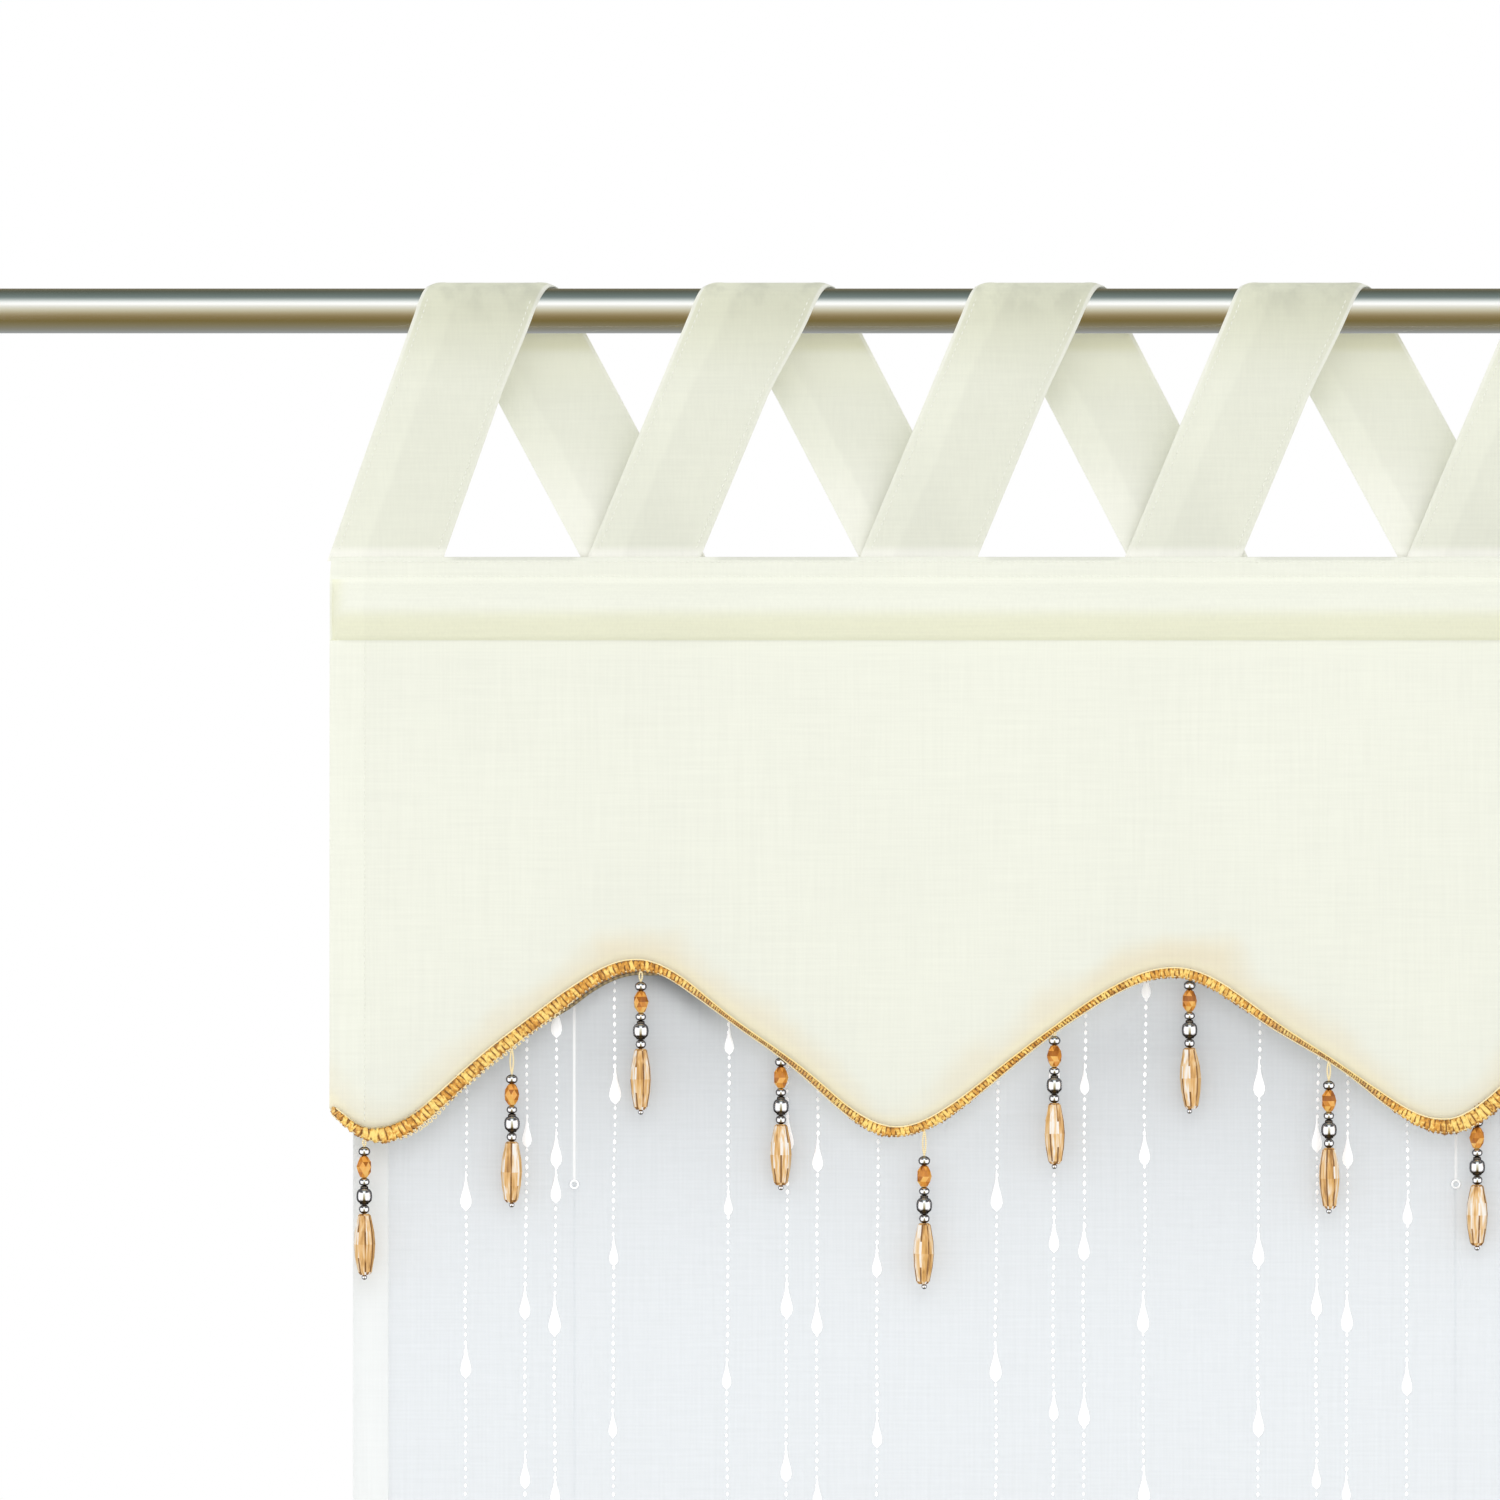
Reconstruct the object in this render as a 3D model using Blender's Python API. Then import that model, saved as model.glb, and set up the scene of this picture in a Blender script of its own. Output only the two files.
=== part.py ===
"""Roman shade: crossed tabs over a rod, a scalloped valance with pendants, and a sheer panel behind it.

Metres, +Z up. X runs along the rod and the front faces -Y. The origin is on the rod's axis, halfway
along the shade. Each piece is one closed solid in an object of its own.
"""

import math
from collections import namedtuple

import bmesh
import bpy
from mathutils import Matrix, Vector

# Driving dimensions
SHADE_WIDTH = 1.000
SHADE_DROP = 1.388  # rod axis to the lower edge of the sheer
ROD_RADIUS = 0.010
ROD_LENGTH = 1.400
ROD_SIDES = 32
ROD_END_ROUND = 0.0008
SEAT_GAP = 0.0003  # left between pieces that touch

# Crossed tabs: each is one strip that climbs the front, goes over the rod and comes down behind it
TAB_WIDTH = 0.050
TAB_THICKNESS = 0.0015
TAB_LEG_STEPS = 4
TAB_WRAP_STEPS = 12
FOOT_OFFSET = 0.00105  # the front and back feet lie this far each side of the header's middle

# Crest along the rod and leans from vertical; each leg's inner edge draws in by its inset below the rod
Tab = namedtuple("Tab", "crest front_lean back_lean front_inset back_inset")
TABS = (
    Tab(-0.4277, 19.6, 28.0, 0.0017, 0.0009),
    Tab(-0.3040, 22.7, 27.2, 0.0038, 0.0031),
    Tab(-0.1828, 22.6, 27.0, 0.0016, 0.0024),
    Tab(-0.0647, 22.5, 28.1, 0.0022, 0.0022),
    Tab(0.0616, 22.7, 27.0, 0.0020, 0.0022),
    Tab(0.1800, 22.5, 26.8, 0.0022, 0.0020),
    Tab(0.2980, 22.8, 27.1, 0.0020, 0.0022),
    Tab(0.4155, 22.6, 24.0, 0.0018, 0.0016),
)
TAB_DRAW_IN = 0.040  # below the rod the inset grows over this length

# Valance: header band, roll, then the plain drop down to the scalloped hem
HEADER_TOP = -0.1098
HEADER_THICKNESS = 0.0054
HEADER_DRAW_IN = 0.004  # the header's top corners are drawn in by this
ROLL_TOP = -0.1201
ROLL_BOTTOM = -0.1469
ROLL_BULGE = 0.0085
ROLL_END_ROUND = 0.009  # the roll rounds off over this length at each end
ROLL_END_BARE = 0.0015
DROP_PLANE = -0.0030  # where the middle of the drop's cloth hangs
VALANCE_THICKNESS = 0.0015
VALANCE_COLUMNS = 64

RollRow = namedtuple("RollRow", "down forward")  # shares of the roll's height and of its bulge
ROLL_SECTION = (
    RollRow(0.00, 0.10),
    RollRow(0.12, 0.56),
    RollRow(0.30, 0.90),
    RollRow(0.50, 1.00),
    RollRow(0.66, 0.88),
    RollRow(0.84, 0.60),
    RollRow(1.00, 0.30),
)
DROP_ROWS = (0.0, 0.25, 0.5, 0.75, 0.92, 1.0)  # shares of the way from the roll to the hem

# Where the scalloped hem turns; the ones outside the cloth only set the slope at its ends. The flank that
# follows a turn is lifted in its middle, and by the skew more in its first half than in its second
Turn = namedtuple("Turn", "x z lift skew")
HEM_TURNS = (
    Turn(-0.5720, -0.2930, -0.0007, 0.0),
    Turn(-0.4788, -0.3676, 0.0033, 0.0011),
    Turn(-0.3627, -0.2920, 0.0020, -0.0033),
    Turn(-0.2481, -0.3662, 0.0033, -0.0030),
    Turn(-0.1236, -0.2952, 0.0009, -0.0030),
    Turn(-0.0021, -0.3638, 0.0050, 0.0045),
    Turn(0.1130, -0.2935, 0.0015, -0.0030),
    Turn(0.2390, -0.3660, 0.0033, -0.0010),
    Turn(0.3610, -0.2925, 0.0015, -0.0030),
    Turn(0.4800, -0.3675, -0.0007, 0.0),
    Turn(0.5720, -0.2930, 0.0, 0.0),
)
SCALLOP_STRAIGHTNESS = 0.06  # third harmonic, which straightens the slopes between the turns

# Braid along the hem
BRAID_DEPTH = 0.0024
BRAID_STEPS = 100
BRAID_SECTION = ((1, 0), (0.55, 1), (-0.55, 1), (-1, 0), (-0.55, -1), (0.55, -1))  # across, out

BraidWidth = namedtuple("BraidWidth", "x width")
BRAID_WIDTHS = (
    BraidWidth(-0.500, 0.0044),
    BraidWidth(-0.486, 0.0056),
    BraidWidth(-0.474, 0.0070),
    BraidWidth(-0.460, 0.0068),
    BraidWidth(-0.440, 0.0062),
    BraidWidth(-0.420, 0.0060),
    BraidWidth(-0.400, 0.0066),
    BraidWidth(-0.385, 0.0062),
    BraidWidth(-0.367, 0.0060),
    BraidWidth(-0.356, 0.0046),
    BraidWidth(-0.345, 0.0040),
    BraidWidth(-0.332, 0.0030),
    BraidWidth(-0.315, 0.0026),
    BraidWidth(-0.295, 0.0028),
    BraidWidth(-0.275, 0.0036),
    BraidWidth(-0.258, 0.0047),
    BraidWidth(-0.235, 0.0047),
    BraidWidth(-0.217, 0.0042),
    BraidWidth(-0.195, 0.0035),
    BraidWidth(-0.170, 0.0033),
    BraidWidth(-0.150, 0.0034),
    BraidWidth(-0.131, 0.0042),
    BraidWidth(-0.110, 0.0048),
    BraidWidth(-0.095, 0.0045),
    BraidWidth(-0.078, 0.0034),
    BraidWidth(-0.060, 0.0026),
    BraidWidth(-0.040, 0.0026),
    BraidWidth(-0.028, 0.0036),
    BraidWidth(-0.014, 0.0050),
    BraidWidth(0.000, 0.0064),
    BraidWidth(0.010, 0.0070),
    BraidWidth(0.050, 0.0064),
    BraidWidth(0.085, 0.0052),
    BraidWidth(0.113, 0.0058),
    BraidWidth(0.130, 0.0042),
    BraidWidth(0.155, 0.0030),
    BraidWidth(0.200, 0.0030),
    BraidWidth(0.239, 0.0048),
    BraidWidth(0.300, 0.0034),
    BraidWidth(0.361, 0.0050),
    BraidWidth(0.420, 0.0028),
    BraidWidth(0.480, 0.0056),
    BraidWidth(0.500, 0.0044),
)

# Pendants, each threaded on its own length of thread below the braid
PENDANT_SIDES = 6
THREAD_RADIUS = 0.0005
NECK_RADIUS = 0.0010

Pendant = namedtuple("Pendant", "x thread")
PENDANTS = (
    Pendant(-0.4844, 0.0026),
    Pendant(-0.4187, 0.0109),
    Pendant(-0.3612, 0.0041),
    Pendant(-0.2987, 0.0010),
    Pendant(-0.2348, 0.0106),
    Pendant(-0.1768, 0.0010),
    Pendant(-0.1165, 0.0010),
    Pendant(-0.0545, 0.0078),
    Pendant(0.0125, 0.0010),
    Pendant(0.0710, 0.0058),
    Pendant(0.1290, 0.0024),
    Pendant(0.1880, 0.0014),
    Pendant(0.2470, 0.0100),
    Pendant(0.3050, 0.0010),
    Pendant(0.3630, 0.0040),
    Pendant(0.4230, 0.0085),
    Pendant(0.4810, 0.0030),
)

# Beads from the top down; the section gives shares of the length and of the radius
Bead = namedtuple("Bead", "diameter length section")
ROUND_SECTION = ((0.5, 1.0),)
DRUM_SECTION = ((0.3, 0.96), (0.7, 0.96))
TAPER_SECTION = ((0.08, 0.66), (0.35, 0.94), (0.66, 1.0), (0.93, 0.62))
BEADS = (
    Bead(0.0054, 0.0041, ROUND_SECTION),
    Bead(0.0068, 0.0097, ROUND_SECTION),
    Bead(0.0045, 0.0036, ROUND_SECTION),
    Bead(0.0070, 0.0067, DRUM_SECTION),
    Bead(0.0047, 0.0040, ROUND_SECTION),
    Bead(0.0092, 0.0272, TAPER_SECTION),
    Bead(0.0024, 0.0022, ROUND_SECTION),
)

# Sheer panel behind the valance
SHEER_WIDTH = 0.980
SHEER_TOP = -0.1120
SHEER_THICKNESS = 0.0010
SHEER_SIDE_HEM = 0.0156
SHEER_BOTTOM_HEM = 0.030
HEM_THICKNESS = 0.0019
HEM_STEP = 0.0006  # the cloth thins from the hem to the field over this
SHEER_PLANE = 0.0045  # where the panel hangs once it is clear of the header
SHEER_SETTLE = 0.12  # the length over which the panel settles to that plane
SHEER_COLUMNS = 40
SHEER_ROWS = 9

# Soft waves across the cloth: size, length and phase
Wave = namedtuple("Wave", "size length phase")
VALANCE_WAVES = (Wave(0.0009, 0.40, 0.5), Wave(0.0006, 0.21, 1.1))
SHEER_WAVES = (Wave(0.0010, 0.262, 0.7), Wave(0.0006, 0.143, 2.0))

# Lift cords and their rings, behind the sheer
LIFT_CORDS = (-0.391, 0.003, 0.397)
LIFT_CORD_RADIUS = 0.0006
LIFT_CORD_TOP = -0.118
RING_RADIUS = 0.00225  # middle of the ring's wire
RING_WIRE = 0.00045
RING_TILT = math.radians(45)
RING_TOP = -0.200
RING_PITCH = 0.190
RINGS_PER_CORD = 7

Finish = namedtuple("Finish", "color roughness metallic")
FINISHES = {
    "ivory_cloth": Finish((0.86, 0.88, 0.76), 0.85, 0.0),
    "sheer_voile": Finish((0.82, 0.85, 0.87), 0.80, 0.0),
    "polished_metal": Finish((0.62, 0.61, 0.58), 0.12, 1.0),
    "gold_braid": Finish((0.75, 0.40, 0.08), 0.45, 0.2),
    "pendant_beads": Finish((0.80, 0.52, 0.28), 0.15, 0.1),
    "white_cord": Finish((0.88, 0.89, 0.90), 0.70, 0.0),
}


def clear_scene():
    for thing in list(bpy.data.objects):
        bpy.data.objects.remove(thing, do_unlink=True)


def make_material(name):
    finish = FINISHES[name]
    material = bpy.data.materials.new(name)
    material.use_nodes = True
    shader = material.node_tree.nodes["Principled BSDF"]
    shader.inputs["Base Color"].default_value = (*finish.color, 1.0)
    shader.inputs["Roughness"].default_value = finish.roughness
    shader.inputs["Metallic"].default_value = finish.metallic
    return material


def add_object(name, data, material):
    piece = bpy.data.objects.new(name, data)
    bpy.context.scene.collection.objects.link(piece)
    data.materials.append(material)
    return piece


def object_from_bmesh(name, bm, material, smooth_angle=math.radians(40)):
    bmesh.ops.recalc_face_normals(bm, faces=bm.faces)
    mesh = bpy.data.meshes.new(name)
    bm.to_mesh(mesh)
    bm.free()
    mesh.shade_smooth()
    mesh.set_sharp_from_angle(angle=smooth_angle)
    return add_object(name, mesh, material)


def add_grid(bm, rows):
    """Joins rows of points into a sheet of quads and returns its points and faces."""
    grid = [[bm.verts.new(point) for point in row] for row in rows]
    faces = []
    for upper, lower in zip(grid, grid[1:]):
        for i in range(len(upper) - 1):
            faces.append(bm.faces.new((upper[i], upper[i + 1], lower[i + 1], lower[i])))
    return [vert for row in grid for vert in row], faces


def cloth_solid(name, front_rows, back_rows, material):
    """A closed sheet: the front grid is extruded, and the new side is set on the back grid."""
    bm = bmesh.new()
    place_of = bm.verts.layers.int.new("place")
    verts, faces = add_grid(bm, front_rows)
    for place, vert in enumerate(verts):
        vert[place_of] = place
    back_points = [point for row in back_rows for point in row]
    grown = bmesh.ops.extrude_face_region(bm, geom=faces, use_keep_orig=True)["geom"]
    for vert in (item for item in grown if isinstance(item, bmesh.types.BMVert)):
        vert.co = back_points[vert[place_of]]
    return object_from_bmesh(name, bm, material)


def lofted_solid(name, loops, material):
    """Bridges closed loops of points one to the next, and caps both ends."""
    bm = bmesh.new()
    rings = [[bm.verts.new(point) for point in loop] for loop in loops]
    for ring, following in zip(rings, rings[1:]):
        for i, vert in enumerate(ring):
            after = (i + 1) % len(ring)
            bm.faces.new((vert, ring[after], following[after], following[i]))
    bm.faces.new(rings[0])
    bm.faces.new(rings[-1])
    return object_from_bmesh(name, bm, material)


def waves(shapes, x):
    return sum(wave.size * math.sin(math.tau * x / wave.length + wave.phase) for wave in shapes)


def interpolated(rows, x):
    """Linear reading of a table of rows whose first column is x."""
    for low, high in zip(rows, rows[1:]):
        if x <= high[0]:
            share = (x - low[0]) / (high[0] - low[0])
            return low[1] + share * (high[1] - low[1])
    return rows[-1][1]


def scallop_share(share):
    """How far the hem has gone from one turn to the next, with straightened slopes."""
    angle = math.pi * share
    third = SCALLOP_STRAIGHTNESS
    wave = (math.cos(angle) + third * math.cos(3 * angle)) / (1 + third)
    return (1 - wave) / 2


def hem_z(x):
    for start, end in zip(HEM_TURNS, HEM_TURNS[1:]):
        if x <= end.x:
            share = (x - start.x) / (end.x - start.x)
            middle = math.sin(math.pi * share) ** 2
            lift = middle * (start.lift + start.skew * math.cos(math.pi * share))
            return start.z + scallop_share(share) * (end.z - start.z) + lift
    return HEM_TURNS[-1].z


def hem_slope(x):
    step = 0.0005
    return (hem_z(x + step) - hem_z(x - step)) / (2 * step)


def drop_y(x, z):
    """Middle of the valance's drop, whose waves grow towards the hem."""
    depth = max(0.0, min(1.0, (ROLL_BOTTOM - z) / 0.15))
    return DROP_PLANE + depth * waves(VALANCE_WAVES, x)


def sheer_y(x, z):
    """Middle of the sheer: sewn against the header, then settling to its own plane in soft waves."""
    sewn = HEADER_THICKNESS / 2 + SEAT_GAP + HEM_THICKNESS / 2
    share = max(0.0, min(1.0, (SHEER_TOP - 0.012 - z) / SHEER_SETTLE))
    settled = share * share * (3 - 2 * share)
    return sewn + settled * (SHEER_PLANE - sewn + waves(SHEER_WAVES, x))


def rod(material):
    bm = bmesh.new()
    bmesh.ops.create_cone(
        bm, cap_ends=True, segments=ROD_SIDES, radius1=ROD_RADIUS, radius2=ROD_RADIUS, depth=ROD_LENGTH
    )
    bmesh.ops.rotate(bm, verts=bm.verts, matrix=Matrix.Rotation(math.pi / 2, 3, "Y"))
    rims = [edge for edge in bm.edges if any(len(face.verts) > 4 for face in edge.link_faces)]
    bmesh.ops.bevel(bm, geom=rims, offset=ROD_END_ROUND, segments=2, profile=0.5, affect="EDGES")
    return object_from_bmesh("rod", bm, material)


def tab_path():
    """Rungs of a tab in the YZ plane, from its front foot over the rod to its back foot.

    Each rung is its y, its z, and the distance along the strip measured from the crest.
    """
    foot_z = HEADER_TOP + SEAT_GAP
    loop_radius = ROD_RADIUS + SEAT_GAP + TAB_THICKNESS / 2
    reach = math.hypot(FOOT_OFFSET, foot_z)
    leg = math.sqrt(reach**2 - loop_radius**2)
    below = math.atan2(FOOT_OFFSET, -foot_z)
    half_wrap = math.pi - math.acos(loop_radius / reach) - below
    step = half_wrap / (TAB_WRAP_STEPS / 2)
    corner_radius = loop_radius + (ROD_RADIUS + SEAT_GAP) * (1 / math.cos(step / 2) - 1)
    half = []
    for i in range(TAB_WRAP_STEPS // 2 + 1):
        angle = i * step
        half.append((corner_radius * math.sin(angle), corner_radius * math.cos(angle), loop_radius * angle))
    start_y, start_z, start_s = half[-1]
    for i in range(1, TAB_LEG_STEPS + 1):
        share = i / TAB_LEG_STEPS
        y = start_y + share * (FOOT_OFFSET - start_y)
        z = start_z + share * (foot_z - start_z)
        half.append((y, z, start_s + share * leg))
    front = [(-y, z, -s) for y, z, s in reversed(half[1:])]
    return front + half, loop_radius * half_wrap


def crossed_tab(number, tab, material):
    """A strip with level rungs; its lean turns from the front leg's to the back leg's on the rod."""
    path, wrap_end = tab_path()
    front = math.tan(math.radians(tab.front_lean))
    back = math.tan(math.radians(tab.back_lean))

    def shift(s):
        turn = max(-wrap_end, min(wrap_end, s))
        middle = (front + back) / 2
        on_rod = middle * turn + (back - front) * (turn * turn) / (4 * wrap_end)
        lean = back if s > 0 else front
        return on_rod + lean * (s - turn)

    rows = []
    for y, z, s in path:
        share = max(0.0, min(1.0, 0.5 + s / (2 * wrap_end)))
        lean = math.atan(front + share * (back - front))
        half_width = TAB_WIDTH / 2 / math.cos(lean)
        centre = tab.crest + shift(s)
        drawn = max(0.0, min(1.0, (abs(s) - wrap_end) / TAB_DRAW_IN))
        left = centre - half_width + (drawn * tab.back_inset if s > 0 else 0.0)
        right = centre + half_width - (drawn * tab.front_inset if s < 0 else 0.0)
        rows.append(((left, y, z), (right, y, z)))
    bm = bmesh.new()
    add_grid(bm, rows)
    piece = object_from_bmesh(f"tab_{number}", bm, material)
    thicken = piece.modifiers.new("cloth", "SOLIDIFY")
    thicken.thickness = TAB_THICKNESS
    thicken.offset = 0.0
    thicken.use_even_offset = True
    return piece


def valance_columns():
    half = SHADE_WIDTH / 2
    end = [half, half - ROLL_END_BARE, half - 0.35 * ROLL_END_ROUND, half - 0.65 * ROLL_END_ROUND]
    inner = half - ROLL_END_ROUND
    middle = [inner * (2 * i / VALANCE_COLUMNS - 1) for i in range(VALANCE_COLUMNS + 1)]
    return [-x for x in end] + middle + end[::-1]


def roll_swell(x):
    """The roll's depth along its length: rounded off at the ends and slightly uneven between them."""
    from_end = SHADE_WIDTH / 2 - abs(x) - ROLL_END_BARE
    share = max(0.0, min(1.0, from_end / (ROLL_END_ROUND - ROLL_END_BARE)))
    uneven = 1 + 0.05 * math.sin(math.tau * x / 0.37 + 0.9) + 0.03 * math.sin(math.tau * x / 0.13)
    return ROLL_BULGE * math.sqrt(share * (2 - share)) * uneven


def valance(material):
    columns = valance_columns()
    header_half = HEADER_THICKNESS / 2
    cloth_half = VALANCE_THICKNESS / 2
    front_rows = []
    back_rows = []

    def add_row(points):
        front_rows.append([(x, front, z) for x, front, back, z in points])
        back_rows.append([(x, back, z) for x, front, back, z in points])

    drawn = (SHADE_WIDTH / 2 - HEADER_DRAW_IN) / (SHADE_WIDTH / 2)
    add_row([(x * drawn, -header_half, header_half, HEADER_TOP) for x in columns])
    for row in ROLL_SECTION:
        z = ROLL_TOP + row.down * (ROLL_BOTTOM - ROLL_TOP)
        back = header_half + row.down * (DROP_PLANE + cloth_half - header_half)
        add_row([(x, -header_half - row.forward * roll_swell(x), back, z) for x in columns])
    for share in DROP_ROWS:
        points = []
        for x in columns:
            top = ROLL_BOTTOM - SEAT_GAP
            z = top + share * (hem_z(x) - top)
            middle = drop_y(x, z)
            points.append((x, middle - cloth_half, middle + cloth_half, z))
        add_row(points)
    return cloth_solid("valance", front_rows, back_rows, material)


def braid_middle_y(x):
    return drop_y(x, hem_z(x)) - VALANCE_THICKNESS / 2 - SEAT_GAP - BRAID_DEPTH / 2


def braid_stations():
    """Even steps along the hem, with one more at each pendant so that it hangs from the braid itself."""
    step = SHADE_WIDTH / BRAID_STEPS
    even = [i * step - SHADE_WIDTH / 2 for i in range(BRAID_STEPS + 1)]
    hung = [row.x for row in PENDANTS]
    clear = [x for x in even if min(abs(x - other) for other in hung) > step / 3]
    return sorted(clear + hung)


def braid(material):
    """A flat six-sided strip whose middle follows the hem, on the valance's face."""
    loops = []
    for x in braid_stations():
        slope = hem_slope(x)
        across = Vector((-slope, 0, 1)).normalized()
        outward = Vector((0, -1, 0))
        middle = Vector((x, braid_middle_y(x), hem_z(x)))
        half_width = interpolated(BRAID_WIDTHS, x) / 2
        half_depth = BRAID_DEPTH / 2
        loop = []
        for side, face in BRAID_SECTION:
            loop.append(middle + side * half_width * across + face * half_depth * outward)
        loops.append(loop)
    return lofted_solid("braid", loops, material)


def pendant_profile(thread):
    """Radius and depth of the pendant's outline, from the thread's top down."""
    outline = [(THREAD_RADIUS, 0.0), (THREAD_RADIUS, thread)]
    depth = thread
    for bead in BEADS:
        for share, radius_share in bead.section:
            outline.append((bead.diameter / 2 * radius_share, depth + bead.length * share))
        depth += bead.length
        outline.append((NECK_RADIUS, depth))
    outline[-1] = (THREAD_RADIUS, depth)
    return outline


def pendant(number, row, material):
    """A turned solid under the braid's lower edge, on the braid's middle."""
    slope = hem_slope(row.x)
    braid_edge = hem_z(row.x) - interpolated(BRAID_WIDTHS, row.x) / 2 * math.hypot(1, slope)
    top = braid_edge - SEAT_GAP - THREAD_RADIUS * abs(slope)
    loops = []
    for radius, depth in pendant_profile(row.thread):
        loop = []
        for i in range(PENDANT_SIDES):
            angle = math.tau * i / PENDANT_SIDES
            loop.append((radius * math.cos(angle), radius * math.sin(angle), -depth))
        loops.append(loop)
    piece = lofted_solid(f"pendant_{number:02d}", loops, material)
    piece.location = (row.x, braid_middle_y(row.x), top)
    return piece


def sheer(material):
    """The panel with thicker hems down both sides and along the bottom."""
    half = SHEER_WIDTH / 2
    inner = half - SHEER_SIDE_HEM - HEM_STEP
    middle = [inner * (2 * i / SHEER_COLUMNS - 1) for i in range(SHEER_COLUMNS + 1)]
    columns = [-half, -half + SHEER_SIDE_HEM, *middle, half - SHEER_SIDE_HEM, half]
    hem_top = -SHADE_DROP + SHEER_BOTTOM_HEM
    field_top = SHEER_TOP
    field_bottom = hem_top + HEM_STEP
    levels = [field_top + (field_bottom - field_top) * (i / SHEER_ROWS) ** 1.3 for i in range(SHEER_ROWS + 1)]
    levels += [hem_top, -SHADE_DROP]
    front_rows = []
    back_rows = []
    for z in levels:
        front = []
        back = []
        for x in columns:
            hemmed = abs(x) > inner + HEM_STEP / 2 or z < hem_top + HEM_STEP / 2
            cloth_half = (HEM_THICKNESS if hemmed else SHEER_THICKNESS) / 2
            y = sheer_y(x, z)
            front.append((x, y - cloth_half, z))
            back.append((x, y + cloth_half, z))
        front_rows.append(front)
        back_rows.append(back)
    return cloth_solid("sheer", front_rows, back_rows, material)


def ring_levels():
    return [RING_TOP - i * RING_PITCH for i in range(RINGS_PER_CORD)]


def cord_y(x, z):
    """The cord runs through the middle of its rings, which are sewn to the sheer's back."""
    ring_reach = RING_RADIUS * math.cos(RING_TILT) + RING_WIRE
    return sheer_y(x, z) + HEM_THICKNESS / 2 + SEAT_GAP + ring_reach


def lift_cord(number, x, material):
    """A straight cord down through the rings, sewn to the header at the top."""
    levels = [LIFT_CORD_TOP, LIFT_CORD_TOP - 0.03]
    for level in ring_levels():
        levels += [level + RING_PITCH / 3 * 0.5, level]
    levels.append(levels[-1] - 0.006)
    sewn_y = sheer_y(x, LIFT_CORD_TOP) + HEM_THICKNESS / 2 + SEAT_GAP + LIFT_CORD_RADIUS
    curve = bpy.data.curves.new(f"lift_cord_{number}", "CURVE")
    curve.dimensions = "3D"
    curve.bevel_depth = LIFT_CORD_RADIUS
    curve.bevel_resolution = 1
    curve.use_fill_caps = True
    spline = curve.splines.new("POLY")
    spline.points.add(len(levels) - 1)
    for point, z in zip(spline.points, levels):
        y = sewn_y if z == LIFT_CORD_TOP else cord_y(x, z)
        point.co = (x, y, z, 1)
    return add_object(f"lift_cord_{number}", curve, material)


def cord_ring(name, x, z, material):
    """A small wire ring, tilted so that the cord passes through it and it meets the cloth."""
    bm = bmesh.new()
    section = []
    for i in range(4):
        angle = math.tau * i / 4
        offset = RING_WIRE * Vector((math.cos(angle), 0, math.sin(angle)))
        section.append(bm.verts.new(Vector((RING_RADIUS, 0, 0)) + offset))
    edges = [bm.edges.new((section[i], section[(i + 1) % 4])) for i in range(4)]
    bmesh.ops.spin(
        bm, geom=section + edges, axis=(0, 0, 1), cent=(0, 0, 0), dvec=(0, 0, 0),
        angle=math.tau, steps=10, use_merge=True, use_duplicate=False,
    )
    piece = object_from_bmesh(name, bm, material)
    piece.rotation_euler = (-RING_TILT, 0, 0)
    piece.location = (x, cord_y(x, z), z)
    return piece


def build():
    clear_scene()
    finishes = {name: make_material(name) for name in FINISHES}
    rod(finishes["polished_metal"])
    for number, tab in enumerate(TABS, 1):
        crossed_tab(number, tab, finishes["ivory_cloth"])
    valance(finishes["ivory_cloth"])
    braid(finishes["gold_braid"])
    for number, row in enumerate(PENDANTS, 1):
        pendant(number, row, finishes["pendant_beads"])
    sheer(finishes["sheer_voile"])
    for number, x in enumerate(LIFT_CORDS, 1):
        lift_cord(number, x, finishes["white_cord"])
        for ring_number, z in enumerate(ring_levels(), 1):
            cord_ring(f"ring_{number}_{ring_number}", x, z, finishes["white_cord"])


build()
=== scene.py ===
# %% [markdown]
# A roman shade on its rod
#
# The shade hangs from a polished rod by eight crossed tabs. An ivory valance with a padded roll and a
# scalloped hem is edged with gold gimp braid, and glass and metal beads hang from the braid. Behind it a
# white voile panel falls to the sill, embroidered with dotted lines and drops.
#
# The solids of every piece come packed from the CAD model. This script dresses them: each piece is made
# again with the finish, weave and sewing that the real one has, in the same place. The lesson goes from
# light to cloth to trim.

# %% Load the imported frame
import math
import random
from collections import namedtuple

import bmesh
import bpy
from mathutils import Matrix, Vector, noise


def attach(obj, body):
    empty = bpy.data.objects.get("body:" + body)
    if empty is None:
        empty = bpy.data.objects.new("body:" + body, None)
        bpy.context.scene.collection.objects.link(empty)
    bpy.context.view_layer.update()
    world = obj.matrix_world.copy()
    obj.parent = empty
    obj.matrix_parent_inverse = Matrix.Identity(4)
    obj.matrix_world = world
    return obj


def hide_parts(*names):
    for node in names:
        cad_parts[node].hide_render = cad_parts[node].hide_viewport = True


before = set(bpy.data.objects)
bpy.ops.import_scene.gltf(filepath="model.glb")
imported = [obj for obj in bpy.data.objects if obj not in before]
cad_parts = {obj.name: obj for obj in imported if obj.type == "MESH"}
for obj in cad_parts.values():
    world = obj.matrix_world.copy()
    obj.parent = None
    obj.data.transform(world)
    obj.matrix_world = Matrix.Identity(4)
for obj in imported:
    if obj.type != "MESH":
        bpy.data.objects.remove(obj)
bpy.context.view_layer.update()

# %% [markdown]
# The camera stands level in front of the shade's left half, which is what the photograph shows. A long lens
# keeps the straps and beads square, as a catalogue picture does. The width of the view is a real size, so
# the focal length follows from it and from the camera's distance.

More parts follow.
